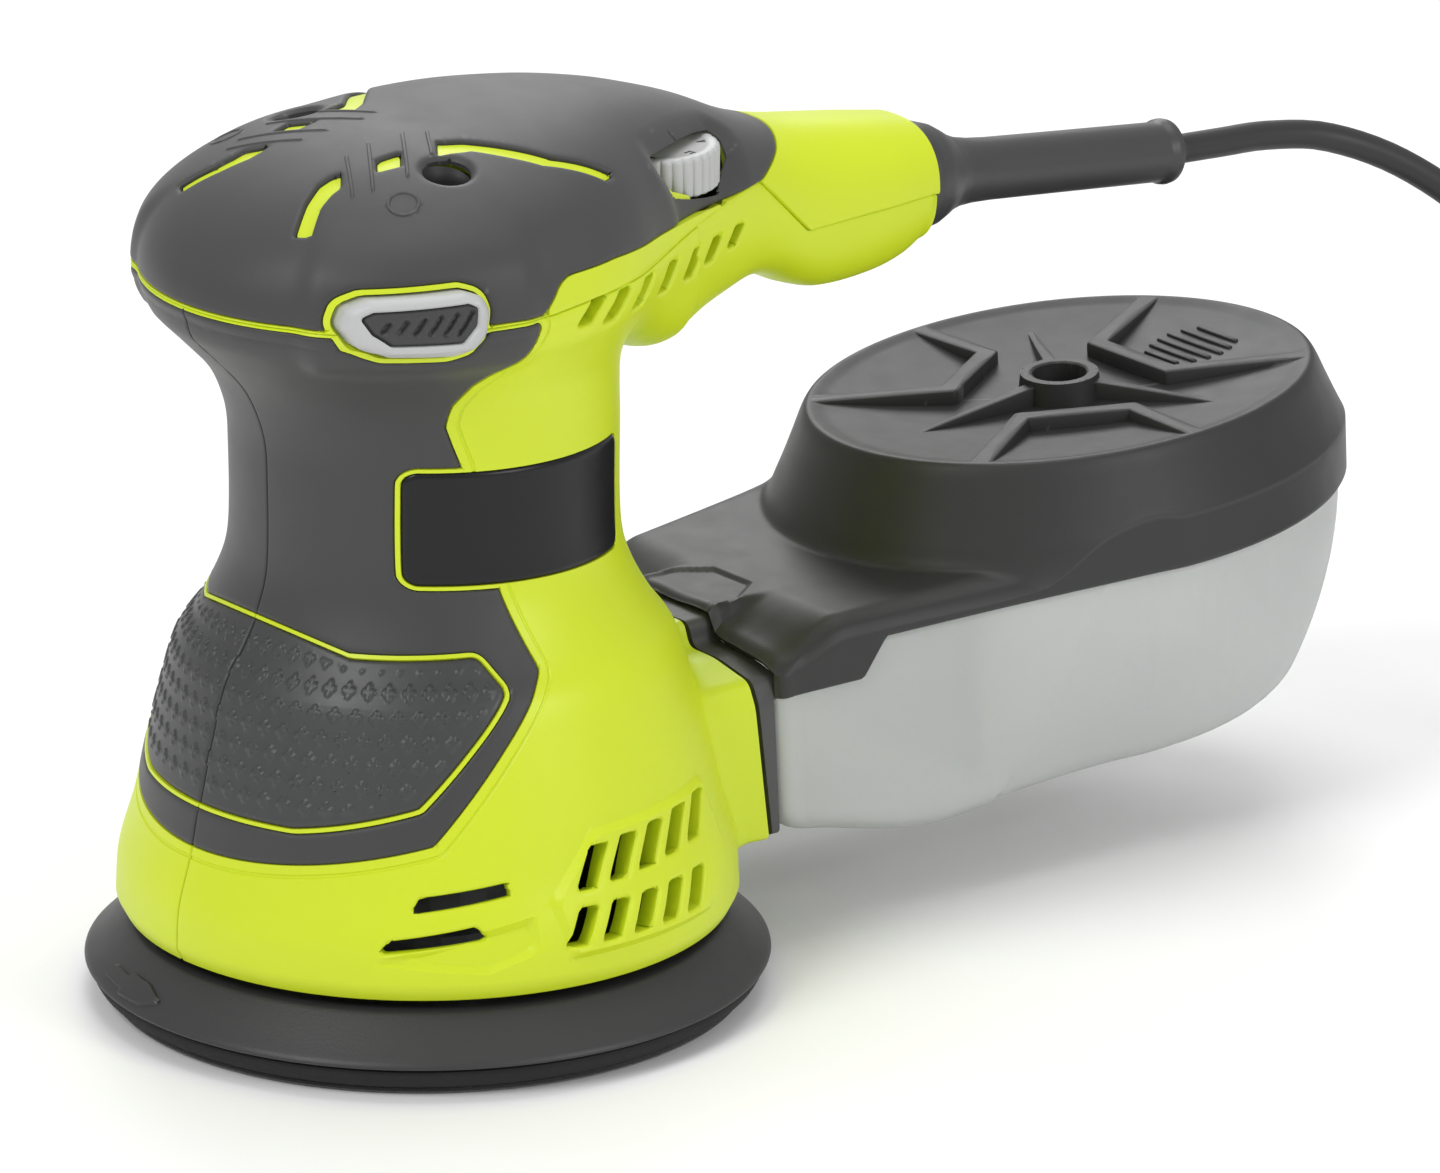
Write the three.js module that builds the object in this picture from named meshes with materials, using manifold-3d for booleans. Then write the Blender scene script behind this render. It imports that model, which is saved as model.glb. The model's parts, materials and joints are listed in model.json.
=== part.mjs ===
// Random-orbit palm sander with a 125 mm pad, a rear dust box and a mains cord.
// Millimetres. +Z is up, +Y runs from the palm to the cord, +X is the right-hand side.
// The origin is on the motor axis, in the face of the hook pad.
import * as THREE from 'three';
import { mergeVertices } from 'three/addons/utils/BufferGeometryUtils.js';
import Module from 'manifold-3d';

const wasm = await Module();
wasm.setup();

// ---------------------------------------------------------------- driving dimensions
const GAP = 0.3;                  // clearance between touching pieces
const OVERMOULD = 2.0;            // soft grip thickness
const PANEL = 0.8;                // textured panel and badge thickness
const WALL = 4.3;                 // outer skin to inner face of the housing
const PAD_RADIUS = 62.5;          // 125 mm disc
const PLATE_RADIUS = 67;          // widest part of the backing plate
const ORBIT = 1.2;                // pad axis offset from the motor axis
const ORBIT_ANGLE = THREE.MathUtils.degToRad(-40);
const BODY_BOTTOM = 17.4;
const NECK_RADIUS = 37.8;
const PARTING = 148.4;            // height of the seam between housing and top cover
const PALM = { centre: -5, halfWidth: 48, halfLength: 52 };
const TAIL_END = 117;
const PORT = { y: 59, z: 40, halfWidth: 32, low: -16.5, high: 19, tabHigh: 24.5, faceSlope: 1 / 8 };
const BOX = { tilt: 3, centre: 104, halfWidth: 48.3, endLength: 61, floor: -25, rim: 19.7 };
const TURRET = { halfWidth: 44.6, halfLength: 56, top: 45, hub: 46.4 };
const BOOT = { endY: 188, endZ: 132.8, droop: 6.4, length: 80.5 };
const CORD_RADIUS = 3;
const PLUG = { x: 47, y: 355, z: 6.8 };
const COIL = { x: 95, y: 308, inner: 23.2, outer: 49.9, low: 0.3, high: 13 };

const padX = ORBIT * Math.cos(ORBIT_ANGLE);
const padY = ORBIT * Math.sin(ORBIT_ANGLE);
const rad = THREE.MathUtils.degToRad;

// ---------------------------------------------------------------- materials
const paint = (color, roughness, metalness = 0) =>
  new THREE.MeshStandardMaterial({ color, roughness, metalness });
const GREEN = paint(0xc9dc26, 0.42);
const SOFT = paint(0x4c4d4d, 0.72);
const PANEL_DARK = paint(0x3f4040, 0.6);
const BADGE = paint(0x17181a, 0.3);
const BLACK = paint(0x1b1b1c, 0.7);
const PLATE = paint(0x343536, 0.62);
const FOAM = paint(0x151516, 0.95);
const HOOK = paint(0x2a2a2c, 1.0);
const LID = paint(0x3c3d3e, 0.55);
const TUB = paint(0xc9cacb, 0.35);
const LIGHT = paint(0xb9babb, 0.45);
const STEEL = paint(0xb8bbbf, 0.3, 1);
const LAMINATION = paint(0x6f7277, 0.5, 0.9);
const COPPER = paint(0xb56a35, 0.35, 1);
const CARBON = paint(0x222222, 0.8);
const CAST = paint(0x9a9da0, 0.5, 0.9);
const PAPER = paint(0xe8e3d2, 0.95);
const CORD = paint(0x232324, 0.6);
const BRASS = paint(0xc8a24a, 0.3, 1);

// ---------------------------------------------------------------- solids and meshes
// A closed geometry as a manifold solid, whichever way its faces were wound.
function solid(geometry) {
  const bare = geometry.clone();
  bare.deleteAttribute('normal');
  bare.deleteAttribute('uv');
  const merged = mergeVertices(bare, 1e-4);
  const index = Array.from(merged.index.array);
  const kept = [];
  for (let i = 0; i < index.length; i += 3) {
    const [a, b, c] = index.slice(i, i + 3);
    if (a !== b && b !== c && c !== a) kept.push(a, b, c);
  }
  const build = (triangles) => new wasm.Manifold(new wasm.Mesh({
    numProp: 3,
    vertProperties: new Float32Array(merged.attributes.position.array),
    triVerts: new Uint32Array(triangles),
  }));
  const made = build(kept);
  return made.volume() > 0 ? made : build(kept.reverse());
}

const union = (...solids) => solids.reduce((whole, next) => whole.add(next));
const cut = (whole, ...tools) => tools.reduce((left, tool) => left.subtract(tool), whole);

const group = new THREE.Group();

// The triangles of the shell that has the most of them: a cut can leave loose slivers behind.
function mainShell(triangles, vertexCount) {
  const parent = Array.from({ length: vertexCount }, (_, i) => i);
  const root = (i) => {
    let at = i;
    while (parent[at] !== at) at = parent[at];
    parent[i] = at;
    return at;
  };
  for (let i = 0; i < triangles.length; i += 3) {
    parent[root(triangles[i + 1])] = root(triangles[i]);
    parent[root(triangles[i + 2])] = root(triangles[i]);
  }
  const shells = new Map();
  for (let i = 0; i < triangles.length; i += 3) {
    const key = root(triangles[i]);
    if (!shells.has(key)) shells.set(key, []);
    shells.get(key).push(triangles[i], triangles[i + 1], triangles[i + 2]);
  }
  return [...shells.values()].sort((a, b) => b.length - a.length)[0];
}

function piece(name, shape, material, parent = group) {
  const source = shape.getMesh();
  const geometry = new THREE.BufferGeometry();
  geometry.setAttribute('position', new THREE.BufferAttribute(new Float32Array(source.vertProperties), 3));
  geometry.setIndex(mainShell(source.triVerts, source.vertProperties.length / 3));
  const mesh = new THREE.Mesh(geometry, material);
  mesh.name = name;
  parent.add(mesh);
  return mesh;
}

function block(x0, x1, y0, y1, z0, z1) {
  const box = new THREE.BoxGeometry(x1 - x0, y1 - y0, z1 - z0);
  return solid(box.translate((x0 + x1) / 2, (y0 + y1) / 2, (z0 + z1) / 2));
}

function rod(radius, z0, z1, x = 0, y = 0, sides = 20) {
  const cylinder = new THREE.CylinderGeometry(radius, radius, z1 - z0, sides);
  return solid(cylinder.rotateX(Math.PI / 2).translate(x, y, (z0 + z1) / 2));
}

// A profile of [radius, height] points, from axis to axis, turned about Z.
function turned(profile, sides = 24) {
  const points = profile.map(([r, z]) => new THREE.Vector2(r, z));
  return solid(new THREE.LatheGeometry(points, sides).rotateX(Math.PI / 2));
}

// A ring: a closed profile that stays off the axis.
function ring(inner, outer, z0, z1, x = 0, y = 0, sides = 24) {
  const profile = [[inner, z0], [outer, z0], [outer, z1], [inner, z1], [inner, z0]];
  const points = profile.map(([r, z]) => new THREE.Vector2(r, z));
  const lathe = new THREE.LatheGeometry(points, sides).rotateX(Math.PI / 2);
  return solid(lathe.translate(x, y, 0));
}

function outline(points) {
  return new THREE.Shape(points.map(([x, y]) => new THREE.Vector2(x, y)));
}

// An anticlockwise outline with every edge moved outwards by a distance.
function grown(points, by) {
  const count = points.length;
  const edge = (i) => {
    const [a, b] = [points[i % count], points[(i + 1) % count]];
    const length = Math.hypot(b[0] - a[0], b[1] - a[1]);
    return { from: a, along: [(b[0] - a[0]) / length, (b[1] - a[1]) / length] };
  };
  return points.map((corner, i) => {
    const [before, after] = [edge(i + count - 1).along, edge(i).along];
    const turn = 1 + before[0] * after[0] + before[1] * after[1];
    return [corner[0] + by * (before[1] + after[1]) / turn, corner[1] - by * (before[0] + after[0]) / turn];
  });
}

// A plan outline raised from z0 to z1.
function raised(points, z0, z1, steps = 1) {
  const options = { depth: z1 - z0, bevelEnabled: false, steps };
  return new THREE.ExtrudeGeometry(outline(points), options).translate(0, 0, z0);
}

// A side-view outline of [y, z] points, pushed through from x0 to x1.
function sideways(points, x0 = -90, x1 = 90) {
  const flat = new THREE.ExtrudeGeometry(outline(points), { depth: x1 - x0, bevelEnabled: false });
  const turn = new THREE.Matrix4().makeBasis(
    new THREE.Vector3(0, 1, 0), new THREE.Vector3(0, 0, 1), new THREE.Vector3(1, 0, 0));
  return solid(flat.applyMatrix4(turn).translate(x0, 0, 0));
}

// Moves each vertex of a geometry by a rule.
function displaced(geometry, rule) {
  const position = geometry.attributes.position;
  const point = new THREE.Vector3();
  for (let i = 0; i < position.count; i += 1) {
    rule(point.fromBufferAttribute(position, i));
    position.setXYZ(i, point.x, point.y, point.z);
  }
  return geometry;
}

// A smooth curve value = f(at) through [at, value] points, flat outside them.
function through(points) {
  const slope = (i) => {
    const a = points[Math.max(i - 1, 0)];
    const b = points[Math.min(i + 1, points.length - 1)];
    return (b[1] - a[1]) / (b[0] - a[0]);
  };
  return (at) => {
    if (at <= points[0][0]) return points[0][1];
    if (at >= points.at(-1)[0]) return points.at(-1)[1];
    const i = points.findIndex(([x]) => x > at) - 1;
    const [x0, v0] = points[i];
    const [x1, v1] = points[i + 1];
    const span = x1 - x0;
    const t = (at - x0) / span;
    const bend = (1 - t) * (slope(i) * span - (v1 - v0)) - t * (slope(i + 1) * span - (v1 - v0));
    return v0 + t * (v1 - v0) + t * (1 - t) * bend;
  };
}

const smoothstep = THREE.MathUtils.smoothstep;

// ---------------------------------------------------------------- outer form of the body
const BODY_PROFILE = [
  [59.4, BODY_BOTTOM], [60.8, 20], [60.2, 28], [57, 39], [54.6, 50], [51.3, 63], [48.6, 71.5], [44.4, 77.5],
  [41, 83.5], [38.6, 90], [NECK_RADIUS, 97], [NECK_RADIUS, 112], [39, 121], [42.4, 130], [46.6, 137.5],
  [49, 145],
];

// How finely the outer form is faceted, and the rougher cavity inside it.
const SKIN = { sides: 28, around: 22, stations: 17, frontStations: 6 };
const CAVITY = { sides: 18, around: 14, stations: 9, frontStations: 3 };

// The round lower body and neck, flaring into the palm at the top.
function bodyForm(inset, facets = SKIN, bottom = BODY_BOTTOM) {
  const top = BODY_PROFILE.at(-1)[1] - inset;
  const wall = BODY_PROFILE.map(([r, z]) => [r - inset, Math.min(z, top)]);
  wall[0][1] = bottom;
  const profile = [[0, bottom], ...wall, [0, top]];
  const points = profile.map(([r, z]) => new THREE.Vector2(r, z));
  const lathe = new THREE.LatheGeometry(points, facets.sides).rotateX(Math.PI / 2);
  return solid(displaced(lathe, (p) => {
    const flare = smoothstep(p.z, 114, 146);
    p.x *= 1 - 0.02 * flare;
    p.y = p.y * (1 + 0.06 * flare) + PALM.centre * flare;
  }));
}

const handleTop = through([[-5, 175.2], [8, 176.2], [20, 176], [33, 173.8], [45, 171], [63, 166.3],
  [78, 161.2], [86, 159.3], [95, 157.8], [106, 156], [TAIL_END, 154]]);
const handleHalf = through([[-5, PALM.halfWidth], [8, 46.6], [20, 42.4], [30, 36.5], [40, 31.2], [50, 26.6],
  [60, 22.6], [70, 19.6], [80, 17.6], [92, 16.6], [105, 15.8], [TAIL_END, 14.4]]);
const handleMiddle = through([[-5, PARTING], [45, PARTING], [66, 147.5], [84, 142], [95, 141],
  [TAIL_END, 141]]);
const handleBottom = through([[-5, 134], [20, 134], [36, 127], [48, 123.6], [62, 124.2], [72, 126.4],
  [78, 127], [84, 125.2], [92, 123.4], [104, 123.6], [112, 125.4], [TAIL_END, 128.6]]);

// The palm, the handle behind it and the tail, as one loft along Y.
function handleForm(inset, facets = SKIN) {
  const { around, stations, frontStations } = facets;
  const tube = new THREE.CylinderGeometry(1, 1, 1, around, stations);
  const tailEnd = TAIL_END - inset;
  return solid(displaced(tube, (p) => {
    const station = Math.round((p.y + 0.5) * stations);
    const reach = Math.hypot(p.x, p.z);
    const angle = Math.atan2(p.z, p.x);
    const quarter = Math.min(station / frontStations, 1) * Math.PI / 2;
    const along = Math.max(station - frontStations, 0) / (stations - frontStations);
    const fullness = Math.sin(quarter);
    const y = PALM.centre - (PALM.halfLength - inset) * Math.cos(quarter) + along * (tailEnd - PALM.centre);
    const middle = handleMiddle(y);
    const up = Math.sin(angle) >= 0;
    const height = up ? handleTop(y) - inset - middle : middle - handleBottom(y) - inset;
    const power = 2 / (up ? 2.5 : 2.4);
    const c = Math.cos(angle);
    const s = Math.sin(angle);
    p.x = reach * fullness * (handleHalf(y) - inset) * Math.sign(c) * Math.abs(c) ** power;
    p.y = y;
    p.z = middle + reach * fullness * height * Math.sign(s) * Math.abs(s) ** power;
  }));
}

// The duct behind the body. Its open face leans back by a slope that keeps every corner in one exact plane.
function portForm(inset, from = -42, to = 0) {
  const half = PORT.halfWidth - inset;
  const section = [[-half, PORT.low + inset], [half, PORT.low + inset], [half, 12 - inset],
    [half - 1.5, 17 - inset], [20 - inset, PORT.high - inset], [12.6 - inset, 19.5 - inset],
    [11.6 - inset, PORT.tabHigh - inset], [inset - 11.6, PORT.tabHigh - inset], [inset - 12.6, 19.5 - inset],
    [inset - 20, PORT.high - inset], [1.5 - half, 17 - inset], [-half, 12 - inset]];
  const duct = new THREE.ExtrudeGeometry(outline(section), { depth: to - from, bevelEnabled: false });
  return solid(displaced(duct, (p) => {
    const [across, height, along] = [p.x, p.y, p.z];
    p.set(across, PORT.y + from + along - height * PORT.faceSlope, PORT.z + height);
  }));
}

function outerForm(inset) {
  return union(bodyForm(inset), handleForm(inset), portForm(inset));
}

const FORM = outerForm(0);

// ---------------------------------------------------------------- regions drawn in side view
const COVER_EDGE = [[-5, PARTING], [6, 149.4], [29, 149.9], [46, 151.8], [68, 154.2]];
const COVER_OUTLINE = [[-75, PARTING], ...COVER_EDGE, [82, 140.6], [130, 141], [130, 200], [-75, 200]];
const PALM_GRIP_OUTLINE = [[-75, PARTING + 0.6], ...COVER_EDGE.map(([y, z]) => [y, z + 0.6]), [76, 157],
  [84, 163], [84, 200], [-75, 200]];
const GRIP_OUTLINE = [[-75, 40], [-57, 40], [-46.4, 43], [-32.5, 47], [-6.3, 77], [-11, 95], [-20, 106],
  [-20.4, 129], [-10, PARTING - 0.6], [-75, PARTING - 0.6]];
const PANEL_OUTLINE = [[-75, 48], [-50, 48.5], [-33.7, 54], [-14.4, 74.5], [-17.3, 80.5], [-36, 80],
  [-43, 84], [-75, 88]];
const BADGE_OUTLINE = [[-26.3, 93.5], [23.8, 92], [23.8, 115], [-26.3, 116]];
const region = (points, grow = 0) => sideways(grown(points, grow));
// The layer of the outer form that lies in a region, down to a depth, and the cut that makes room for it.
const skin = (points, depth) => region(points).subtract(outerForm(depth)).intersect(FORM);
const recess = (points, depth) => region(points, GAP).subtract(outerForm(depth + GAP));

const half = (side, from = 0.15) => (side > 0
  ? block(from, 95, -90, 130, 0, 200)
  : block(-95, -from, -90, 130, 0, 200));

// ---------------------------------------------------------------- cooling slots
function slantedSlot(y, z, length, width, lean) {
  const dy = Math.sin(rad(lean)) * length / 2;
  const dz = Math.cos(rad(lean)) * length / 2;
  return sideways([[y - dy - width / 2, z - dz], [y - dy + width / 2, z - dz],
    [y + dy + width / 2, z + dz], [y + dy - width / 2, z + dz]]);
}

function handleSlots() {
  return Array.from({ length: 8 }, (_, i) => {
    const y = 14.5 + i * 6.9;
    return slantedSlot(y, 143.6 + i * 0.35, 10 - i * 0.75, 3, 30);
  });
}

function bodySlots() {
  const slots = [];
  for (let i = 0; i < 5; i += 1) {
    slots.push(slantedSlot(-4 + i * 7.4, 40 + i * 0.5, 8, 4, 28));
    slots.push(slantedSlot(-8 + i * 7.4, 29.5, 7, 4, 28));
  }
  slots.push(sideways([[-38, 34.5], [-21, 37], [-21, 39.5], [-36, 37.5]]));
  slots.push(sideways([[-44, 26.8], [-26, 29.5], [-28, 32], [-42, 29.5]]));
  return slots;
}

// ---------------------------------------------------------------- housing shells
const SWITCH = { y: -30, z: 149.5, halfLength: 14.5, low: 143, high: 156, travel: 4 };
const DIAL = { x: 13, y: 46, radius: 13, low: 156.4, high: 164.4 };
const TOP_SCREW = { x: 21, y: -10, seat: 160 };

const switchPassage = () => block(-80, 80, SWITCH.y - SWITCH.halfLength - 0.5,
  SWITCH.y + SWITCH.halfLength + 0.5, SWITCH.low - 0.5, SWITCH.high + 0.5);
const dialPocket = () => rod(DIAL.radius + 0.7, DIAL.low - 0.7, DIAL.high + 0.8, DIAL.x, DIAL.y);

function housingShell() {
  const cavity = union(bodyForm(WALL, CAVITY, 5), handleForm(WALL, CAVITY));
  const channel = portForm(4, -42, 2);
  const sealSeat = portForm(2, -3.2, 2);
  const bearingShelf = cut(bodyForm(2.5), rod(9.9, 0, 200), block(-90, 90, -90, 90, 0, 141.2),
    block(-90, 90, -90, 90, 144, 200));
  const bootHole = solid(new THREE.CylinderGeometry(8, 8, 20, 28).translate(0, TAIL_END, 140.8));
  const shell = cut(FORM, cavity, channel, sealSeat, bootHole, switchPassage(), dialPocket());
  return { shell, shelf: bearingShelf };
}

const { shell, shelf } = housingShell();
const gripRecess = recess(GRIP_OUTLINE, OVERMOULD);
const badgeRecess = recess(BADGE_OUTLINE, PANEL);
const SLOTS = [...handleSlots(), ...bodySlots()];

function housingHalf(side) {
  const lower = shell.subtract(region(COVER_OUTLINE, GAP)).add(shelf);
  return cut(lower, gripRecess, badgeRecess, ...SLOTS).intersect(half(side));
}

function topCover() {
  const boss = rod(6, 151, 175, TOP_SCREW.x, TOP_SCREW.y).intersect(outerForm(OVERMOULD + GAP));
  return cut(shell.intersect(region(COVER_OUTLINE)).add(boss), recess(PALM_GRIP_OUTLINE, OVERMOULD),
    rod(3.7, TOP_SCREW.seat, 190, TOP_SCREW.x, TOP_SCREW.y), rod(1.9, 140, 190, TOP_SCREW.x, TOP_SCREW.y));
}

function palmOvermould() {
  return cut(skin(PALM_GRIP_OUTLINE, OVERMOULD), switchPassage(), dialPocket(),
    rod(4, TOP_SCREW.seat, 190, TOP_SCREW.x, TOP_SCREW.y));
}

function gripOvermould(side) {
  return cut(skin(GRIP_OUTLINE, OVERMOULD), recess(PANEL_OUTLINE, PANEL), badgeRecess, switchPassage())
    .intersect(half(side));
}

const gripPanel = (side) => skin(PANEL_OUTLINE, PANEL).intersect(half(side));
const badge = (side) => skin(BADGE_OUTLINE, PANEL).intersect(half(side, 12));

for (const [suffix, side] of [['right', 1], ['left', -1]]) {
  piece(`housing_${suffix}`, housingHalf(side), GREEN);
  piece(`grip_overmould_${suffix}`, gripOvermould(side), SOFT);
  piece(`grip_panel_${suffix}`, gripPanel(side), PANEL_DARK);
  piece(`badge_${suffix}`, badge(side), BADGE);
}
piece('top_cover', topCover(), GREEN);
piece('palm_overmould', palmOvermould(), SOFT);
piece('top_screw', union(rod(3.2, TOP_SCREW.seat + GAP, 162.8, TOP_SCREW.x, TOP_SCREW.y, 16),
  rod(1.6, 152, 161, TOP_SCREW.x, TOP_SCREW.y, 12)), STEEL);

// ---------------------------------------------------------------- fixed parts inside the housing
// A screw along X: its head lies at x0 and its shank runs towards the other side.
function screwAcross(name, x0, y, z) {
  const head = new THREE.CylinderGeometry(3, 3, 2.2, 16).rotateZ(Math.PI / 2).translate(x0, y, z);
  const shank = new THREE.CylinderGeometry(1.5, 1.5, 16, 12).rotateZ(Math.PI / 2).translate(x0 + 8.5, y, z);
  piece(name, union(solid(head), solid(shank)), STEEL);
}

function motorStator() {
  const [low, high] = [83, 117];
  const shoes = ring(20.4, 27.5, low, high).intersect(
    union(block(-30, 30, -13, 13, low - 1, high + 1)));
  piece('stator_core', union(ring(27, 31, low, high), shoes), LAMINATION);
  for (const [suffix, side] of [['front', -1], ['rear', 1]]) {
    const wedge = side > 0 ? block(-17, 17, 14, 40, 70, 130) : block(-17, 17, -40, -14, 70, 130);
    piece(`field_coil_${suffix}`, ring(21, 26.5, low - 5, high + 5).intersect(wedge), COPPER);
  }
}

function brushGear() {
  for (const [suffix, side] of [['right', 1], ['left', -1]]) {
    const holder = cut(block(14, 31, -5, 5, 125.5, 136.5), block(13, 29, -3.3, 3.3, 127.5, 134.5));
    const brush = block(11.4, 25, -3, 3, 127.8, 134.2);
    const spring = block(25.3, 28.7, -2.4, 2.4, 128.4, 133.6);
    const turnBy = side > 0 ? 0 : 180;
    piece(`brush_holder_${suffix}`, holder.rotate([0, 0, turnBy]), BRASS);
    piece(`carbon_brush_${suffix}`, brush.rotate([0, 0, turnBy]), CARBON);
    piece(`brush_spring_${suffix}`, spring.rotate([0, 0, turnBy]), STEEL);
  }
}

motorStator();
brushGear();
piece('upper_bearing', ring(4.3, 9.6, 139, 145.5), STEEL);
piece('lower_bearing', ring(4.3, 11, 57, 65), STEEL);
piece('fan_housing', cut(union(ring(30, 46.6, 54, 56.5), turned([[0, 54], [31, 54], [31, 56.5], [14, 56.5],
  [14, 65.5], [0, 65.5]])), rod(11.3, 56.6, 70), rod(5.5, 50, 70)), BLACK);
piece('switch_module', block(-11, 11, -37, -21, 152.5, 161), BLACK);
piece('speed_module', block(-6, 15, 38, 55, 144.6, 152.5), BLACK);
piece('cord_clamp', cut(block(-9, 9, 96, 102, 144.6, 148.6), rod(1.8, 140, 150, -6.5, 99, 12),
  rod(1.8, 140, 150, 6.5, 99, 12)), BLACK);
screwAcross('housing_screw', -28, -16, 76);
piece('pad_brake', ring(51.4, 54.6, 16.9, 20), BLACK);
piece('dust_port_seal', cut(portForm(2 + GAP, -2.9, -GAP), portForm(4.2, -10, 5)), BLACK);

function bootProfile() {
  return [[0, 0], [9, 0], [9, 3.2], [7, 3.4], [7, 10.8], [10.9, 11], [11.1, 13], [10.2, 16.5],
    [8.2, 20.5], [6.8, 25], [6.3, 32], [6.2, 50], [6.1, 77.6], [6.7, 78.4], [6.7, BOOT.length],
    [0, BOOT.length]];
}

function alongBoot(shape) {
  const startY = BOOT.endY - BOOT.length * Math.cos(rad(BOOT.droop));
  const startZ = BOOT.endZ + BOOT.length * Math.sin(rad(BOOT.droop));
  return shape.rotate([-90 - BOOT.droop, 0, 0]).translate([0, startY, startZ]);
}

piece('cord_boot', alongBoot(turned(bootProfile(), 16)), BLACK);

// ---------------------------------------------------------------- rotor
function rotor() {
  piece('rotor_shaft', rod(4, 31, 147, 0, 0, 20), STEEL);
  piece('armature_core', ring(4.3, 19.6, 83, 117), LAMINATION);
  piece('armature_winding_lower', ring(7, 17, 73, 82.7), COPPER);
  piece('armature_winding_upper', ring(7, 17, 117.3, 125), COPPER);
  piece('commutator', ring(4.3, 11, 125.5, 137), COPPER);
  const blade = block(13, 45, -1, 1, 42, 51);
  const blades = Array.from({ length: 9 }, (_, i) => blade.rotate([0, 0, i * 40]));
  const wheel = union(rod(45, 40.5, 42.5, 0, 0, 36), rod(14, 42, 51, 0, 0, 24), ...blades);
  piece('fan', cut(wheel, rod(4.3, 30, 60)), CAST);
  const lobe = ring(12, 40, 30, 38, 0, 0, 36).intersect(block(-40, 0, -30, 30, 20, 40))
    .rotate([0, 0, THREE.MathUtils.radToDeg(ORBIT_ANGLE)]);
  const weight = union(rod(19, 19, 32), rod(13, 31, 40), lobe);
  piece('counterweight', cut(weight, rod(14.3, 15, 28.3, padX, padY), rod(4.3, 30.7, 50)), CAST);
  piece('pad_bearing', ring(6.3, 14, 19, 28, padX, padY), STEEL);
}

rotor();

// ---------------------------------------------------------------- pad, centred on its own axis
const DUST_HOLES = Array.from({ length: 8 }, (_, i) => rad(22.5 + i * 45));
const SCREW_ANGLES = Array.from({ length: 3 }, (_, i) => rad(90 + i * 120));

function padPieces() {
  const pad = new THREE.Group();
  pad.position.set(padX, padY, 0);
  group.add(pad);
  const around = (angles, pitch, radius, z0, z1) =>
    angles.map((a) => rod(radius, z0, z1, pitch * Math.cos(a), pitch * Math.sin(a), 10));
  const dust = around(DUST_HOLES, 40, 4.5, -1, 30);
  const heads = around(SCREW_ANGLES, 13, 4.8, -1, 6.8);
  const shanks = around(SCREW_ANGLES, 13, 2.3, 5, 19);
  piece('hook_face', cut(rod(PAD_RADIUS, 0, 1.2, 0, 0, 40), ...dust, ...heads), HOOK, pad);
  piece('pad_foam', cut(turned([[0, 1.5], [62.6, 1.5], [65, 3.4], [65.7, 4.8], [65.5, 5.9], [0, 5.9]], 40),
    ...dust, ...heads), FOAM, pad);
  piece('backing_plate', cut(turned([[0, 6.2], [66.3, 6.2], [PLATE_RADIUS, 6.9], [66.6, 7.8], [58.6, 15],
    [57.6, 15.4], [50, 15.4], [47, 9.4], [24, 9.4], [22, 12], [0, 12]], 40), ...dust, ...heads, ...shanks),
  PLATE, pad);
  const hub = turned([[0, 12.3], [20, 12.3], [20, 15.8], [9, 16.4], [9, 18.6], [6, 18.7], [6, 27.9],
    [0, 27.9]], 24);
  piece('pad_hub', cut(hub, ...shanks), CAST, pad);
  SCREW_ANGLES.forEach((angle, i) => {
    const [x, y] = [13 * Math.cos(angle), 13 * Math.sin(angle)];
    piece(`pad_screw_${i + 1}`, union(rod(4.3, 3.8, 6.5, x, y, 16), rod(2, 6, 15, x, y, 12)), STEEL, pad);
  });
}

padPieces();

// ---------------------------------------------------------------- switch slide and speed dial
// A bar through the palm with a cap at each end. At rest it is off, so the right-hand cap stands out.
function switchSlide() {
  const slide = new THREE.Group();
  slide.position.x = SWITCH.travel / 2;
  group.add(slide);
  piece('switch_bar', block(-33, 33, SWITCH.y - 4, SWITCH.y + 4, 147, 152), BLACK, slide);
  for (const [suffix, side] of [['right', 1], ['left', -1]]) {
    const reach = block(33.3, 60, SWITCH.y - SWITCH.halfLength, SWITCH.y + SWITCH.halfLength, SWITCH.low,
      SWITCH.high);
    const face = sideways([[-43.5, 150], [-41, 154], [-18, 155], [-16.6, 152], [-17.5, 146], [-20, 144],
      [-38, 144.3], [-42, 146]], 33, 60);
    const inner = sideways([[-39.5, 150.5], [-38.5, 151.6], [-20, 152.4], [-19.6, 151], [-21.5, 146.6],
      [-36.5, 146.9]], 38.5, 70);
    const proud = outerForm(-1.2).intersect(reach).intersect(face);
    const sleeve = cut(proud, inner);
    const insert = sideways([[-39.1, 150.4], [-38.2, 151.2], [-20.4, 152], [-20, 150.8], [-21.8, 147],
      [-36.3, 147.3]], 38.8, 70).intersect(outerForm(0.2));
    const onItsSide = (shape) => (side > 0 ? shape : shape.mirror([1, 0, 0]));
    piece(`switch_cap_${suffix}`, onItsSide(sleeve), LIGHT, slide);
    piece(`switch_insert_${suffix}`, onItsSide(insert), SOFT, slide);
  }
}

function speedDial() {
  const grooves = Array.from({ length: 18 }, (_, i) => {
    const a = rad(i * 20);
    return rod(1, DIAL.low - 1, DIAL.high + 1, DIAL.x + 13.4 * Math.cos(a), DIAL.y + 13.4 * Math.sin(a), 6);
  });
  piece('speed_dial', union(cut(rod(DIAL.radius, DIAL.low, DIAL.high, DIAL.x, DIAL.y, 36), ...grooves),
    rod(3, 152.9, 158, DIAL.x, DIAL.y, 16)), LIGHT);
}

switchSlide();
speedDial();

// ---------------------------------------------------------------- dust box, drawn along its own axis
// Local Y runs rearward from the port and local Z is up from the box's own middle plane.
const dustBox = new THREE.Group();
dustBox.position.set(0, PORT.y, PORT.z);
dustBox.rotation.x = rad(BOX.tilt);
group.add(dustBox);

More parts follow.
